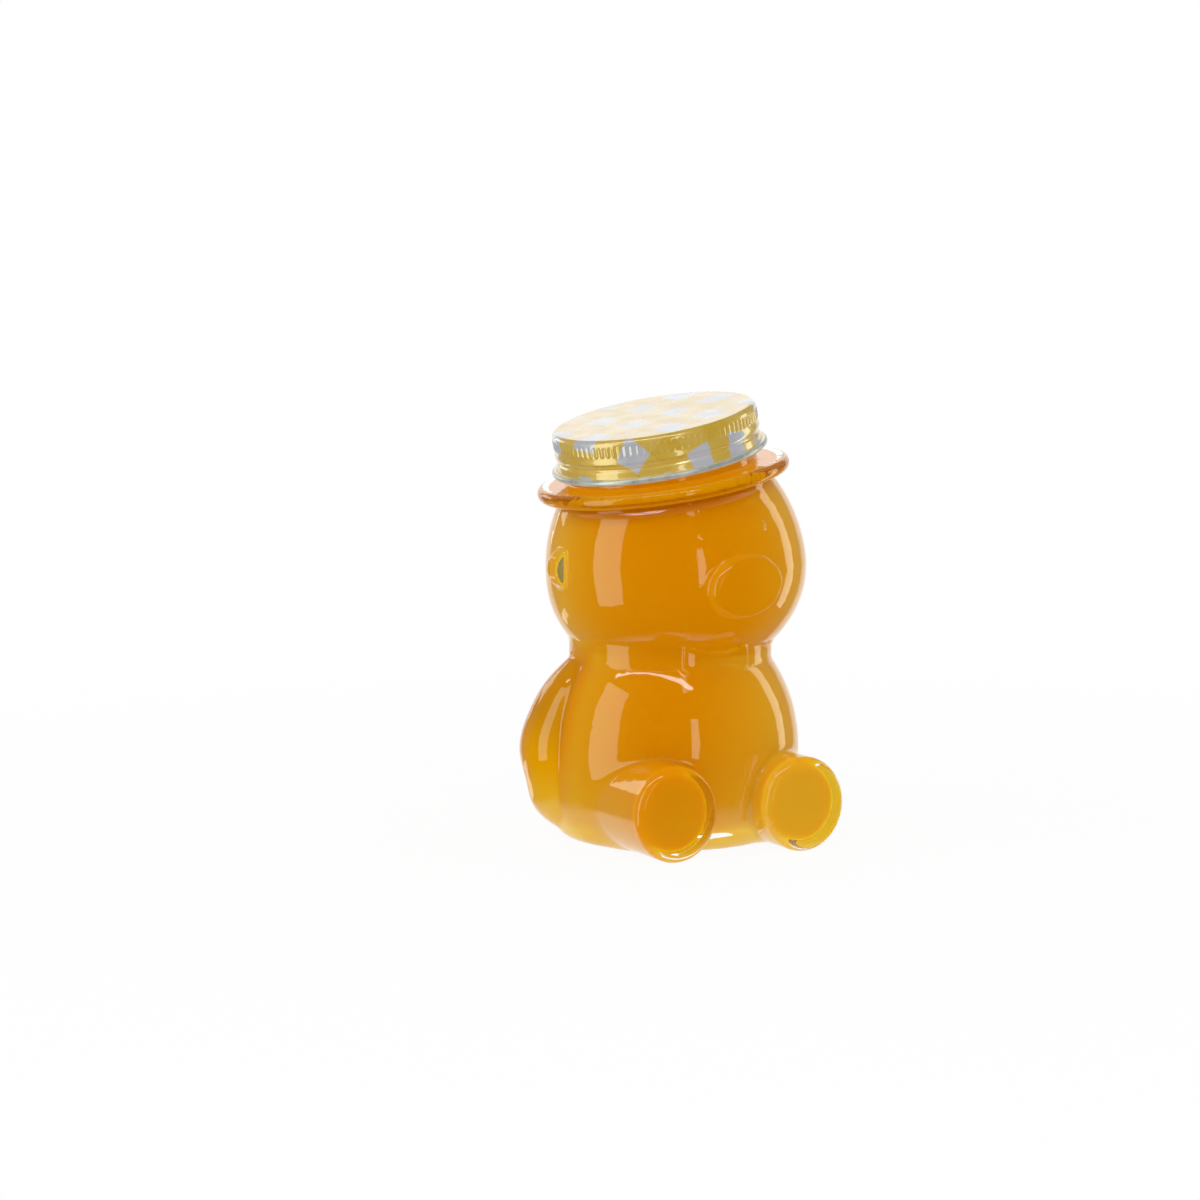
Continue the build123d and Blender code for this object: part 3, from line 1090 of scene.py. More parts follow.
    def inside(self, points: Array, inset: float = 0.0) -> Array:
        """Distance to the room inside, drawn in by inset."""
        m = self.mould
        wall = m.wall + inset
        room = m.belly.less(wall).distance(points - [0, 0, m.belly_height])
        room = soft_meet(room, m.floor + inset - points[:, 2], m.inner_bend)
        throat = np.maximum(from_axis(points) - m.throat_radius + inset,
                            np.abs(points[:, 2] - m.bow_height) - m.throat_half_height)
        room = soft_join(room, throat, m.room_join)
        for side in Side:
            room = soft_join(room, self.leg_field(points, side, m.leg_bend, inset), m.room_join)
        spot = m.head.read(points)
        skull = soft_meet(m.skull.less(wall).distance(spot), spot[:, 2] - m.shoulder + inset, m.shoulder_bend)
        core = disc_distance(spot - [0, 0, m.brim_height], m.brim_core_radius - inset,
                             m.brim_core_half_height - inset, m.brim_core_edge)
        room = soft_join(soft_join(room, skull, m.room_join), core, m.core_join)
        spot = m.mouth.read(points)
        flare = m.rim_edge * np.clip((spot[:, 2] - m.rim_height + m.rim_edge) / m.rim_edge, 0.0, 3.0) ** 2
        bore = np.maximum(from_axis(spot) - m.mouth_radius + inset - flare,
                          np.abs(spot[:, 2]) - m.bore_half_height)
        return soft_join(room, bore, m.bore_join)

    def outer_shells(self) -> list[Shell]:
        """Rough closed forms of the outside, for the skin to start from."""
        m, gap = self.mould, self.SKIN
        belly = m.belly.shell(gap).shifted(0.0, 0.0, m.belly_height)
        belly.points[:, 2] = np.maximum(belly.points[:, 2], 0.0)
        collar = rod_shell(-m.collar_half, m.collar_half, m.collar_radius, gap)
        skull = m.skull.shell(gap)
        skull.points[:, 2] = np.minimum(skull.points[:, 2], m.brim_height)
        half = m.brim_thickness / 2.0
        brim = rod_shell(m.brim_height - half, m.brim_height + half, m.brim_radius, gap)
        snout = facing_front(rod_shell(0.0, m.muzzle_reach, (m.muzzle_half_width, m.muzzle_half_height), gap))
        head = [skull, brim, snout.shifted(0.0, 0.0, m.muzzle_height)]
        half = m.ear_thickness / 2.0
        for side in Side:
            eye = Egg(m.eye_radius, m.eye_radius, m.eye_radius).shell(gap / 2.0)
            ear = facing_front(rod_shell(-half, half, m.ear_radius, gap))
            head.append(eye.shifted(*self.eye_place(side)))
            head.append(ear.shifted(side.value * (m.ear_reach - m.ear_radius), 0.0, m.ear_height))
        neck = rod_shell(-m.rim_edge, m.rim_height, m.neck_radius, gap)
        out = from_axis(neck.points)
        lift = self.ridge_lift(neck.points) / np.maximum(out, m.neck_radius)
        neck.points[:, :2] *= (1.0 + lift * (out > m.neck_zone))[:, None]
        limbs = [form(side) for form in (self.leg_shell, self.arm_shell) for side in Side]
        body = [belly, collar.shifted(0.0, 0.0, m.collar_middle)] + limbs
        return body + [shell.moved(m.head) for shell in head] + [neck.moved(m.mouth), self.bow_shell()]

    def leg_shell(self, side: Side, inset: float | None = None) -> Shell:
        """Rough rod of one leg, or of its hollow."""
        half_width, half_height, middle, reach = self.leg_rod(inset)
        leg = facing_front(rod_shell(0.0, reach, (half_width, half_height), self.SKIN))
        return leg.shifted(side.value * self.mould.leg_spread, 0.0, middle)

    def arm_shell(self, side: Side) -> Shell:
        """Rough form of one arm: the splines' ovals, level by level."""
        m = self.mould
        rows = int((m.arm_high - m.arm_low) / self.SKIN)
        share = np.linspace(0.0, 1.0, rows)
        rough = turned_shell(np.ones(rows), share, int(FULL_TURN * m.arm_half_width / self.SKIN))
        reach, size, behind = self.arm_rows(unit(rough.points[:, 2]))
        depth = m.arm_depth * size
        outward = reach - depth + depth * rough.points[:, 0]
        tangent = m.arm_half_width * size * rough.points[:, 1]
        x = outward * np.cos(behind) - tangent * np.sin(behind)
        y = outward * np.sin(behind) + tangent * np.cos(behind)
        height = m.arm_low + (m.arm_high - m.arm_low) * rough.points[:, 2]
        made = rough.with_points(np.stack([side.value * x, y, height], axis=1))
        return made if side is Side.LEFT else made.flipped()

    def bow_shell(self) -> Shell:
        """Rough bow tie: a rod through the collar, squeezed at its waist and bent round the collar."""
        m = self.mould
        bar = rod_shell(-m.bow_half_width, m.bow_half_width, (m.bow_half_height, m.bow_half_depth),
                        self.SKIN / 2.0)
        along = bar.points[:, 2] / m.collar_radius
        narrow = np.abs(bar.points[:, 2]) / m.bow_half_width
        up = bar.points[:, 0] * (m.bow_waist + (m.bow_half_height - m.bow_waist) * narrow) / m.bow_half_height
        out = m.collar_radius - m.bow_sunk + bar.points[:, 1]
        places = [out * np.sin(along), -out * np.cos(along), up + m.bow_height]
        return bar.with_points(np.stack(places, axis=1))

    def inner_shells(self, inset: float) -> list[Shell]:
        """Rough closed forms of the room inside."""
        m, gap = self.mould, self.INSIDE
        wall = m.wall + inset
        belly = m.belly.less(wall).shell(gap).shifted(0.0, 0.0, m.belly_height)
        belly.points[:, 2] = np.maximum(belly.points[:, 2], m.floor + inset)
        skull = m.skull.less(wall).shell(gap)
        skull.points[:, 2] = np.minimum(skull.points[:, 2], m.shoulder - inset)
        low = m.brim_height - m.brim_core_half_height + inset
        high = m.brim_height + m.brim_core_half_height - inset
        throat, core, bore = [
            rod_shell(start, end, radius - inset, gap) for start, end, radius in (
                (m.throat_low, m.throat_high, m.throat_radius), (low, high, m.brim_core_radius),
                (-m.rim_height, m.bore_half_height, m.mouth_radius))]
        legs = [self.leg_shell(side, inset) for side in Side]
        return [belly, throat, skull.moved(m.head), core.moved(m.head), bore.moved(m.mouth)] + legs

    def build(self) -> Object:
        """Casts the outer skin, casts the room inside, and takes the one from the other."""
        skin = cast("bear_skin", self.outer_shells(), self.outside, self.SKIN)
        room = cast("bear_room", self.inner_shells(0.0), self.inside, self.INSIDE)
        return piece("glass_bear", cut("glass_bear", skin, room))

    def dress(self, made: Object, clear: Material, wetted: Material) -> None:
        """Gives the outer faces clear glass and the faces that honey wets their own glass."""
        middles = face_middles(made.data)
        within = np.abs(self.inside(middles)) < np.abs(self.outside(middles))
        dress_faces(made.data, [clear, wetted], within & (middles[:, 2] < self.mould.fill_level))


@dataclass(frozen=True)
class LightWays:
    """Shares of light that the honey and its glass pass or keep, painted into the honey's colour as painted
    light and painted shade, and the millimetres where they change.
    """

    head_power: float = 1.6
    most_through: float = 0.42
    brim_keeps: float = 0.9
    table_reach: float = 34.0
    table_power: float = 1.5
    table_share: float = 0.35
    sole_keeps: float = 0.5
    sole_start: float = 4.0
    sole_span: float = 6.0
    arm_shade_most: float = 0.95
    arm_span: float = 8.0
    arm_start: float = 6.0
    arm_rise: float = 30.0
    most_open: float = 0.55
    most_height: float = 0.95


@dataclass(frozen=True)
class HoneyFill:
    """The honey: the room inside up to a level surface."""

    bear: GlassBear
    ways: LightWays

    SKIN = 1.0
    GAP = 0.1
    PAINTED_SHADING_MAP = "painted_light_and_shade"
    FULL_DEPTH = 0.25
    ACROSS = (0.891, -0.454, 0.0)
    TOP_DEPTH = 0.05
    FILM_START = 2.0

    def build(self) -> Object:
        """Casts the room, drawn in by the gap, and cuts it off level."""
        shape = cast("honey_rough", self.bear.inner_shells(self.GAP),
                     lambda points: self.bear.inside(points, self.GAP), self.SKIN)
        level = self.bear.mould.fill_level
        above = rod_shell(level, 2.0 * level, level, 20.0)
        made = piece("honey_fill", cut("honey_fill", shape, above.mesh("honey_above")))
        points = read_points(made.data)
        # Painted light and shade on the points, which the honey's finish turns into colour.
        thin = made.data.attributes.new(self.PAINTED_SHADING_MAP, "FLOAT", "POINT")
        thin.data.foreach_set("value", self.painted_light_and_shade(points).astype(np.float32))
        return made

    def width_share(self, points: Array, egg: Egg) -> Array:
        """How far out a point lies across the light's way, as a share of an egg's width at its height."""
        height = points[:, 2] / np.where(points[:, 2] > 0.0, egg.rise, egg.drop)
        height = np.clip(height, -self.ways.most_height, self.ways.most_height)
        across = np.abs(points @ np.array(self.ACROSS))
        return unit(across / (egg.radius * np.sqrt(1.0 - height**2)))

    def painted_light_and_shade(self, points: Array) -> Array:
        """Painted light: how easily light from the white wall behind comes through the honey, from none to
        one, painted into its colour.

        At a share c of the half width the way through a round body is sqrt(1 - c^2) of its longest.
        Near the table painted light from below is added, less is painted in the brim and the soles, and where
        the thick glass of an arm keeps light out the honey gets painted shade.
        FULL_DEPTH is the honey's colour where the way is longest.
        """
        m, ways = self.bear.mould, self.ways
        belly = self.width_share(points - [0, 0, m.belly_height], m.belly.less(m.wall))
        spot = m.head.read(points)
        head = self.width_share(spot, Egg(m.head_radius - m.wall, m.head_rise, m.head_drop))
        through = np.where(points[:, 2] > m.bow_height, (1.0 - np.sqrt(1.0 - head**2)) ** ways.head_power,
                           1.0 - np.sqrt(1.0 - belly**2))
        through = np.minimum(through, ways.most_through)
        through = through * (1.0 - ways.brim_keeps * unit((spot[:, 2] - m.shoulder) / m.brim_edge))
        # Painted light from the table below, with less of it in the soles.
        soles = unit((ways.sole_start - points[:, 1] - m.belly_radius) / ways.sole_span)
        low = unit(1.0 - points[:, 2] / ways.table_reach) ** ways.table_power
        low = low * (1.0 - ways.sole_keeps * soles)
        # Painted shade where the arms stand.
        arms = np.minimum(*[self.bear.arm_field(points, side) for side in Side])
        painted_arm_shade = ways.arm_shade_most * unit(0.5 - arms / ways.arm_span)
        painted_arm_shade = painted_arm_shade * unit((points[:, 2] - ways.arm_start) / ways.arm_rise)
        open_share = np.clip(through + ways.table_share * low, 0.0, ways.most_open) * (1.0 - painted_arm_shade)
        return self.FULL_DEPTH * (1.0 - painted_arm_shade) + (1.0 - self.FULL_DEPTH) * open_share

    def dress(self, made: Object, body: Material, top: Material, film: Material) -> None:
        """Gives the level surface its shine, the film in the brim its own finish, and the rest the body's."""
        m = self.bear.mould
        middles = face_middles(made.data)
        spot = m.head.read(middles)
        thin = np.abs(spot[:, 2] - m.brim_height) < m.brim_thickness / 2.0
        thin = thin & (from_axis(spot) > m.mouth_radius + self.FILM_START)
        high = middles[:, 2] > m.fill_level - self.TOP_DEPTH
        dress_faces(made.data, [body, top, film], np.where(high, 1, 2 * thin))


@dataclass(frozen=True)
class LidSizes:
    """The twist-off lid's sizes, in millimetres, with heights along the mouth's axis.

    A drop is measured down from the panel's top; repeat is the gingham's, on the flat sheet.
    """

    top: float = 19.35
    sheet: float = 0.3
    skirt_radius: float = 31.5
    skirt_zone: float = 30.5
    edge: float = 1.7
    depth: float = 13.5
    panel_hole: float = 0.4
    curl_radius: float = 33.3
    curl_wire: float = 0.95
    curl_top_share: float = 0.9
    roll_start_degrees: float = 118.0
    roll_end_degrees: float = -172.0
    groove_drop: float = 8.9
    groove_depth: float = 0.55
    groove_half_height: float = 0.8
    groove_sharpness: float = 1.6
    bead_rise: float = 1.9
    bead_height: float = 0.22
    bead_half_height: float = 0.9
    flare: float = 0.35
    flare_start: float = 0.8
    flare_span: float = 2.6
    knurl_count: int = 100
    knurl_height: float = 0.25
    knurl_top_drop: float = 1.6
    knurl_band: float = 3.8
    knurl_fade_in: float = 0.7
    knurl_fade_out: float = 0.9
    knurl_power: float = 1.5
    knurl_sunk: float = 0.35
    lug_count: int = 4
    lug_span_degrees: float = 22.0
    lug_width: float = 1.2
    lug_inner: float = 29.75
    lug_corner: float = 0.5
    lug_end_power: int = 8
    lug_tip: float = 0.02
    lead: float = 14.8
    columns: int = 600
    repeat: float = 15.6
    print_turn_degrees: float = -76.5
    print_x: float = 17.9
    print_y: float = 16.9
    draw_start: float = 18.0
    draw_end: float = 36.0
    draw_slip: float = 4.3

    @property
    def curl_height(self) -> float:
        """Height of the curl's middle."""
        return self.top - self.depth + self.curl_wire

    @property
    def flat_radius(self) -> float:
        """Radius of the flat panel."""
        return self.skirt_radius - self.edge


@dataclass(frozen=True)
class TwistLid:
    """The pressed tinplate lid, on the mouth's axis."""

    sizes: LidSizes
    mouth: Lean

    SHEET_MAP = "printed_sheet"
    LUG_ROWS = 25
    LUG_POINTS = 20

    def groove(self, drop: Array) -> Array:
        """Depth of the groove at a drop below the panel: a bell curve about the groove's own drop."""
        s = self.sizes
        away = (drop - s.groove_drop) / s.groove_half_height
        return s.groove_depth * np.exp(-s.groove_sharpness * away**2)

    def outside_outline(self) -> tuple[Array, Array]:
        """The outline from the panel's middle out, down the skirt and round the curl."""
        s = self.sizes
        panel = np.linspace(s.panel_hole, s.flat_radius, 34)
        bend = np.linspace(0.0, math.pi / 2.0, 10)[1:]
        drop = np.linspace(s.edge, s.top - s.curl_height - s.curl_wire, 62)[1:]
        bead = s.bead_height * np.exp(-(((drop - s.groove_drop + s.bead_rise) / s.bead_half_height) ** 2))
        flare = s.flare * unit((drop - s.groove_drop - s.flare_start) / s.flare_span) ** 2
        roll = np.radians(np.linspace(s.roll_start_degrees, s.roll_end_degrees, 30))
        out = np.concatenate([
            panel, s.flat_radius + s.edge * np.sin(bend), s.skirt_radius - self.groove(drop) + bead + flare,
            s.curl_radius - s.curl_wire + s.curl_wire * np.cos(roll)])
        height = np.concatenate([
            np.full(len(panel), s.top), s.top - s.edge + s.edge * np.cos(bend), s.top - drop,
            s.curl_height + s.curl_wire * np.sin(roll)])
        return out, height

    def inside_outline(self) -> tuple[Array, Array]:
        """The outline from the curl's inner end up the skirt and in under the panel."""
        s = self.sizes
        rise = np.linspace(s.curl_height, s.top - s.edge, 14)
        bend = np.linspace(math.pi / 2.0, 0.0, 8)[1:]
        small = s.edge - s.sheet
        panel = np.linspace(s.flat_radius, s.panel_hole, 12)[1:]
        out = np.concatenate([
            s.skirt_radius - s.sheet - self.groove(s.top - rise), s.flat_radius + small * np.sin(bend),
            panel])
        height = np.concatenate([
            rise, s.top - s.edge + small * np.cos(bend), np.full(len(panel), s.top - s.sheet)])
        return out, height

    def knurl_lift(self, turn: Array, height: Array) -> Array:
        """How far the knurls lift the skirt: rounded ribs that fade at both ends of their band."""
        s = self.sizes
        drop = s.top - height - s.knurl_top_drop
        fade = eased(drop / s.knurl_fade_in) * eased((s.knurl_band - drop) / s.knurl_fade_out)
        rib = 0.5 + 0.5 * np.cos(turn * s.knurl_count)
        return s.knurl_height * fade * (rib**s.knurl_power - s.knurl_sunk)

    def skin(self) -> tuple[Shell, int]:
        """The closed sheet: outer outline, then inner outline, turned about the axis.

        Returns:
            The shell, and how many of its rows are outside.
        """
        outer, inner = self.outside_outline(), self.inside_outline()
        out, height = [np.concatenate(pair) for pair in zip(outer, inner)]
        made = turned_shell(out, height, self.sizes.columns).flipped()
        turn = np.arctan2(made.points[:, 1], made.points[:, 0])
        radius = np.maximum(from_axis(made.points), 1e-6)
        outside = np.arange(len(made.points)) < len(outer[0]) * self.sizes.columns
        lift = self.knurl_lift(turn, made.points[:, 2]) * (outside & (radius > self.sizes.skirt_zone))
        made.points[:, :2] *= (1.0 + lift / radius)[:, None]
        return made, len(outer[0])

    def lug(self, number: int) -> Shell:
        """One lug: a flattened bar that follows the thread, its ends rounded off."""
        s = self.sizes
        half_span = math.radians(s.lug_span_degrees) / 2.0
        share = np.linspace(-1.0, 1.0, self.LUG_ROWS)
        taper = np.sqrt(np.clip(1.0 - share**s.lug_end_power, s.lug_tip, 1.0))
        across, up = rounded_bar(self.LUG_POINTS, s.lug_corner)
        outer = s.skirt_radius - s.sheet / 2.0
        half_reach = (outer - s.lug_inner) / 2.0
        out = outer - half_reach + np.outer(taper, across) * half_reach
        turn = (FULL_TURN * number / s.lug_count + share * half_span)[:, None]
        height = s.curl_height + s.lead * (share * half_span)[:, None] / FULL_TURN
        height = height + np.outer(taper, up) * s.lug_width / 2.0
        return closed_tube(np.stack([out * np.cos(turn), out * np.sin(turn), height], axis=-1))

    def sheet_places(self, points: Array) -> Array:
        """Where each point lay on the flat printed sheet, in repeats of the check.

        The distance from the middle runs along the surface, over the edge and down the skirt. Past
        draw_start the sheet was stretched as it was drawn, so the print lags behind by draw_slip.
        """
        s = self.sizes
        turn = np.arctan2(points[:, 1], points[:, 0])
        drop = s.top - points[:, 2]
        round_edge = s.edge * np.arccos(np.clip(1.0 - drop / s.edge, -1.0, 1.0))
        skirt = np.where(drop < s.edge, round_edge, s.edge * (math.pi / 2.0 - 1.0) + drop)
        run = np.where(drop < 1e-4, np.minimum(from_axis(points), s.flat_radius), s.flat_radius + skirt)
        run = run - s.draw_slip * eased((run - s.draw_start) / (s.draw_end - s.draw_start))
        x = run * np.cos(turn) - s.print_x
        y = run * np.sin(turn) - s.print_y
        tilt = math.radians(s.print_turn_degrees)
        u = x * math.cos(tilt) + y * math.sin(tilt)
        v = -x * math.sin(tilt) + y * math.cos(tilt)
        return np.stack([u, v], axis=1) / s.repeat

    def build(self, finishes: list[Material]) -> Object:
        """Turns the sheet, adds the lugs, lays the print's map and numbers the faces.

        Args:
            finishes: The print, the bare curl's tin and the inner lacquer.

        Returns:
            The lid.
        """
        sheet, rows = self.skin()
        whole = joined([sheet] + [self.lug(n) for n in range(self.sizes.lug_count)])
        data = whole.moved(self.mouth).mesh("gingham_lid")
        corners = read_values(data.loops, "vertex_index", np.int32, 1)[:, 0]
        places = self.sheet_places(whole.points)[corners]
        data.uv_layers.new(name=self.SHEET_MAP).data.foreach_set("uv", places.astype(np.float32).ravel())
        first = corners[read_values(data.polygons, "loop_start", np.int32, 1)[:, 0]]
        dress_faces(data, finishes, self.face_slots(whole.points[first], first, len(sheet.points), rows))
        return piece("gingham_lid", data)

    def face_slots(self, spots: Array, first: Array, sheet_points: int, rows: int) -> Array:
        """Numbers of the faces' finishes: 0 printed, 1 the bare curl, 2 the inside and the lugs.

        Args:
            spots: Each face's first corner.
            first: That corner's number.
            sheet_points: How many points the sheet has, without the lugs.
            rows: How many of its rows are outside.

        Returns:
            One number for each face.
        """
        s = self.sizes
        printed = (first // s.columns < rows) & (first < sheet_points)
        low = spots[:, 2] < s.curl_height + s.curl_top_share * s.curl_wire
        curl = low & (from_axis(spots) > s.skirt_zone)
        return np.where(printed, np.where(curl, 1, 0), 2)


@dataclass(frozen=True)
class RingSizes:
    """The sealing ring's sizes, in millimetres; corner is the power that rounds its outline."""

    inner: float = 26.4
    outer: float = 29.8
    thickness: float = 0.9
    gap: float = 0.05
    corner: float = 0.35
    mark_depth: float = 0.12
    mark_radius: float = 27.7
    mark_half_width: float = 0.8
    outline_points: int = 28
    columns: int = 180


@dataclass(frozen=True)
class SealingRing:
    """The flowed-in sealing compound under the lid's panel, a ring with a soft hollow in its face."""

    sizes: RingSizes
    lid: LidSizes
    mouth: Lean

    def build(self) -> Object:
        """A rounded band carried round the axis, with the rim's mark pressed into its lower face."""
        s = self.sizes
        across, up = rounded_bar(s.outline_points, s.corner)
        out = (s.inner + s.outer) / 2.0 + across * (s.outer - s.inner) / 2.0
        mark = s.mark_depth * np.exp(-(((out - s.mark_radius) / s.mark_half_width) ** 2)) * (up < 0)
        middle = self.lid.top - self.lid.sheet - s.gap - s.thickness / 2.0
        height = middle + up * s.thickness / 2.0 + mark
        around = np.arange(s.columns) * FULL_TURN / s.columns
        points = np.stack([
            np.outer(np.cos(around), out), np.outer(np.sin(around), out),
            np.outer(np.ones(s.columns), height)], axis=-1).reshape(-1, 3)
        faces = grid_faces(s.columns + 1, s.outline_points) % len(points)
        return piece("sealing_ring", Shell(points, faces).moved(self.mouth).mesh("sealing_ring"))


# The studio


def direction(azimuth_degrees: float, elevation_degrees: float) -> Array:
    """Unit direction from the bottle, where azimuth 0 is the front and 90 the bear's left."""
    turn = math.radians(azimuth_degrees)
    lift = math.radians(elevation_degrees)
    return np.array([math.sin(turn) * math.cos(lift), -math.cos(turn) * math.cos(lift), math.sin(lift)])


def looking(back: Array, spot: Array) -> Matrix:
    """Placement at a spot, looking against the direction back, with its own Y axis upright."""
    right = np.cross([0.0, 0.0, 1.0], back)
    right = right / np.linalg.norm(right)
    placed = np.eye(4)
    placed[:3, :3] = np.stack([right, np.cross(back, right), back], axis=1)
    placed[:3, 3] = spot
    return Matrix(placed.tolist())


@dataclass(frozen=True)
class View:
    """The photograph's view: its direction and distance, and where the bottle falls in the frame."""

    azimuth_degrees: float = -27.0
    elevation_degrees: float = 5.3
    distance: float = 0.942
    target_height: float = 0.0798
    frame_pixels: float = 1200.0
    pixels_each_mm: float = 3.25
    target_x: float = 670.3
    target_y: float = 577.6
    sensor: float = 36.0

    @property
    def back(self) -> Array:
        """Direction from the bottle to the camera."""
        return direction(self.azimuth_degrees, self.elevation_degrees)

    def build(self) -> Object:
        """The camera, its shift placing the bottle in the frame as the photograph has it."""
        data = bpy.data.cameras.new("view")
        data.sensor_width = self.sensor
        width = self.frame_pixels / self.pixels_each_mm * MM
        data.lens = self.sensor * self.distance / width
        data.shift_x = (self.frame_pixels / 2.0 - self.target_x) / self.frame_pixels
        data.shift_y = (self.target_y - self.frame_pixels / 2.0) / self.frame_pixels
        data.clip_start = 0.01
        made = in_scene("view", data)
        target = np.array([0.0, 0.0, self.target_height])
        made.matrix_world = looking(self.back, target + self.back * self.distance)
        bpy.context.scene.camera = made
        return made


@dataclass(frozen=True)
class Softbox:
    """A soft lamp seen from the bottle: its direction, distance, size and strength."""

    name: str
    azimuth_degrees: float
    elevation_degrees: float
    distance: float
    width: float
    height: float
    radiance: float
    tint: Triple = (1.0, 1.07, 0.86)
    middle: Triple = (0.0, 0.0, 0.07)
    lights_matt: bool = False

    def build(self) -> Object:
        """An area lamp that faces the bottle, its power worked out from its radiance and its area."""
        data = bpy.data.lights.new(self.name, "AREA")
        data.shape = "RECTANGLE"
        data.size = self.width
        data.size_y = self.height
        data.energy = self.radiance * math.pi * self.width * self.height
        data.color = self.tint
        made = in_scene(self.name, data)
        back = direction(self.azimuth_degrees, self.elevation_degrees)
        made.matrix_world = looking(back, np.array(self.middle) + back * self.distance)
        made.visible_camera = False
        made.visible_diffuse = self.lights_matt
        return made


@dataclass(frozen=True)
class Studio:
    """A white table and surround, a darker room on the camera's side, and soft lamps."""

    view: View

    LAMPS = (
        Softbox("left_window", -88.0, 6.0, 0.60, 0.30, 0.72, 2.2),
        Softbox("right_strip", 89.0, 4.0, 0.60, 0.13, 0.66, 2.3),
        Softbox("front_strip", -5.0, 5.0, 0.70, 0.08, 0.34, 2.6),
        Softbox("front_top", -9.0, 46.0, 0.70, 0.07, 0.15, 2.0),
        Softbox("back_panel", -161.0, 18.0, 0.80, 0.26, 0.20, 1.7),
        Softbox("back_strip", -163.0, -21.0, 0.80, 0.22, 0.06, 1.5),
        Softbox("back_edge", -172.0, 13.0, 0.80, 0.025, 0.34, 2.2),
        Softbox("panel_glow", 158.0, 23.0, 0.90, 0.60, 0.30, 0.20, tint=(1.0, 1.0, 1.0)),
        Softbox("high_softbox", -50.0, 56.0, 0.80, 1.10, 0.05, 9.0, tint=(1.0, 1.0, 1.0), lights_matt=True),
    )
    THROUGH_FRONT: Colour = (0.34, 0.27, 0.12, 1.0)
    CAUGHT_IN_GLASS: Colour = (0.30, 0.23, 0.07, 1.0)

    def table(self) -> Object:
        """A wide round table top, as a fan of rings."""
        rings = np.concatenate([[0.05], np.linspace(0.2, 3.0, 12)]) / MM
        columns = 96
        turn = np.arange(columns) * FULL_TURN / columns
        points = np.stack([
            np.outer(rings, np.cos(turn)), np.outer(rings, np.sin(turn)),
            np.zeros((len(rings), columns))], axis=-1).reshape(-1, 3)
        here = np.arange(columns)
        middle = np.stack([(here + 1) % columns, here, np.full(columns, len(points))], axis=1)
        made = Shell(np.concatenate([points, [[0, 0, 0]]]), grid_faces(len(rings), columns), middle)
        top = piece("table_top", made.flipped().mesh("table_top"))
        top.data.materials.append(self.table_finish())
        return top

    def table_finish(self) -> Material:
        """White board that keeps a soft shadow and goes pure white to the eye."""
        made = bpy.data.materials.new("white_board")
        nodes = emptied(made)
        soft = nodes.add("ShaderNodeBsdfDiffuse", Color=BOARD)
        glow = nodes.add("ShaderNodeEmission", Color=WHITE, Strength=1.0)
        where = nodes.add("ShaderNodeNewGeometry")
        far = nodes.vector("LENGTH", where.outputs["Position"]).outputs["Value"]
        mix = nodes.mix_shaders(nodes.spread_between(far, 0.10, 0.60, 0.93, 1.0), soft, glow)
        past = nodes.maths("MULTIPLY", nodes.spread_between(far, 0.050, 0.068), nodes.rays(RayKind.GLOSSY))
        whole = nodes.mix_shaders(past, mix, nodes.add("ShaderNodeBsdfTransparent"))
        nodes.add("ShaderNodeOutputMaterial", Surface=whole.outputs[0])
        return made

    def surround(self) -> None:
        """World light: white to the eye, white behind the bottle, and dim on the camera's side."""
        world = bpy.data.worlds.new("surround")
        bpy.context.scene.world = world
        nodes = emptied(world)
        where = nodes.add("ShaderNodeTexCoord")
        back = tuple(float(v) for v in self.view.back)
        facing = nodes.vector("DOT_PRODUCT", where.outputs["Generated"], back).outputs["Value"]
        wall = nodes.spread_between(facing, -0.87, -0.77, 1.0, 0.0)
        side = nodes.spread_between(facing, -0.85, 0.05, 0.23, 0.005)
        behind = nodes.spread_between(facing, -0.40, 0.30, 1.0, 0.0)
        looked_through = nodes.blend(behind, self.THROUGH_FRONT, WHITE)
        colour = nodes.blend(nodes.rays(RayKind.GLOSSY), BOARD, nodes.maths("MAXIMUM", wall, side))
        colour = nodes.blend(nodes.rays(RayKind.TRANSMISSION), colour, looked_through)
        colour = nodes.blend(nodes.late_rays(), colour, self.CAUGHT_IN_GLASS)
        colour = nodes.blend(nodes.rays(RayKind.CAMERA), colour, WHITE)
        glow = nodes.add("ShaderNodeBackground", Color=colour, Strength=1.0)
        nodes.add("ShaderNodeOutputWorld", Surface=glow.outputs[0])

    def build(self) -> None:
        """Table, surround, lamps and the view settings."""
        self.table()
        self.surround()
        for lamp in self.LAMPS:
            lamp.build()
        bpy.context.scene.view_settings.view_transform = "Standard"


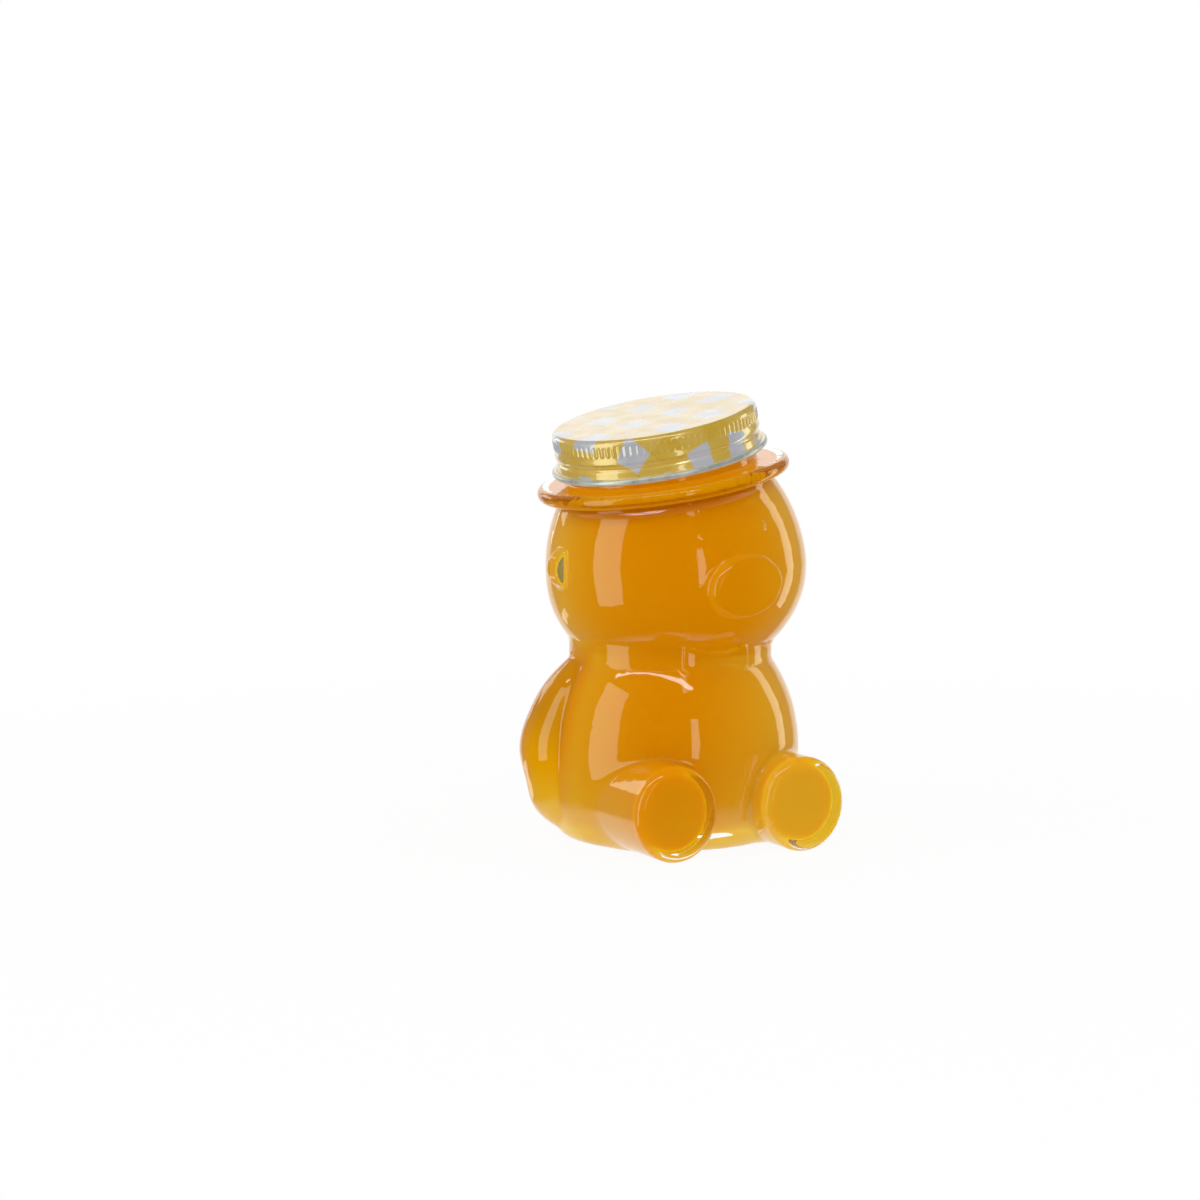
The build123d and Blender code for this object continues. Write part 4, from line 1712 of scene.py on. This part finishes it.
def dress_bottle() -> None:
    """Builds each piece of the bottle, gives it its finish and ties it to its body.

    The lid and its ring hold back no lamp light or fill light from the honey, which the photograph
    shows as bright under them as elsewhere.
    """
    mould = Mould()
    grain = grain_group()
    bear = GlassBear(mould)
    glass = bear.build()
    wetted = GlassFinish("wetted_glass", tint=WHITE, roughness=0.0, bend=1.0, ripple=0.0)
    bear.dress(glass, GlassFinish("clear_glass").build(grain), wetted.build(grain))
    filling = HoneyFill(bear, LightWays())
    honey = filling.build()
    filling.dress(honey, HoneyFinish("honey_body").build(grain),
                  HoneyFinish("honey_surface", shine=0.5).build(grain),
                  HoneyFinish("honey_film", scattering=0.0).build(grain))
    curl_tin = PlainFinish(
        "curl_tin", (0.62, 0.65, 0.60, 1.0), (0.50, 0.53, 0.48, 1.0), 0.5, 0.32, 300.0, 0.00001)
    inner_lacquer = PlainFinish(
        "inner_lacquer", (0.80, 0.74, 0.58, 1.0), (0.72, 0.66, 0.50, 1.0), 0.3, 0.30, 200.0, 0.00001)
    compound = PlainFinish(
        "sealing_compound", (0.82, 0.81, 0.77, 1.0), (0.74, 0.73, 0.69, 1.0), 0.0, 0.6, 500.0, 0.00002)
    printed_tin = PrintedTinFinish("printed_tin").build(grain, gingham_group())
    sizes = LidSizes()
    lid_finishes = [printed_tin, curl_tin.build(grain), inner_lacquer.build(grain)]
    cap = TwistLid(sizes, mould.mouth).build(lid_finishes)
    ring = SealingRing(RingSizes(), sizes, mould.mouth).build()
    ring.data.materials.append(compound.build(grain))
    for shade in (cap, ring):
        shade.visible_diffuse = False
        shade.visible_shadow = False
    rows = (
        (glass, "jar", "glass_jar", "clear_glass"),
        (honey, "jar", "honey", "honey"),
        (cap, "lid", "lid_shell", "printed_tinplate"),
        (ring, "seal", "lid_liner", "sealing_compound"),
    )
    for made, body, node, slot in rows:
        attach(made, body)
        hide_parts(node)
        LOG.info("%s: %d faces on body %s", made.name, len(made.data.polygons), body)


def main() -> None:
    """Builds the view, the studio and the bottle."""
    logging.basicConfig(level=logging.INFO, format="%(name)s %(message)s")
    view = View()
    view.build()
    Studio(view).build()
    dress_bottle()


if __name__ == "__main__":
    main()
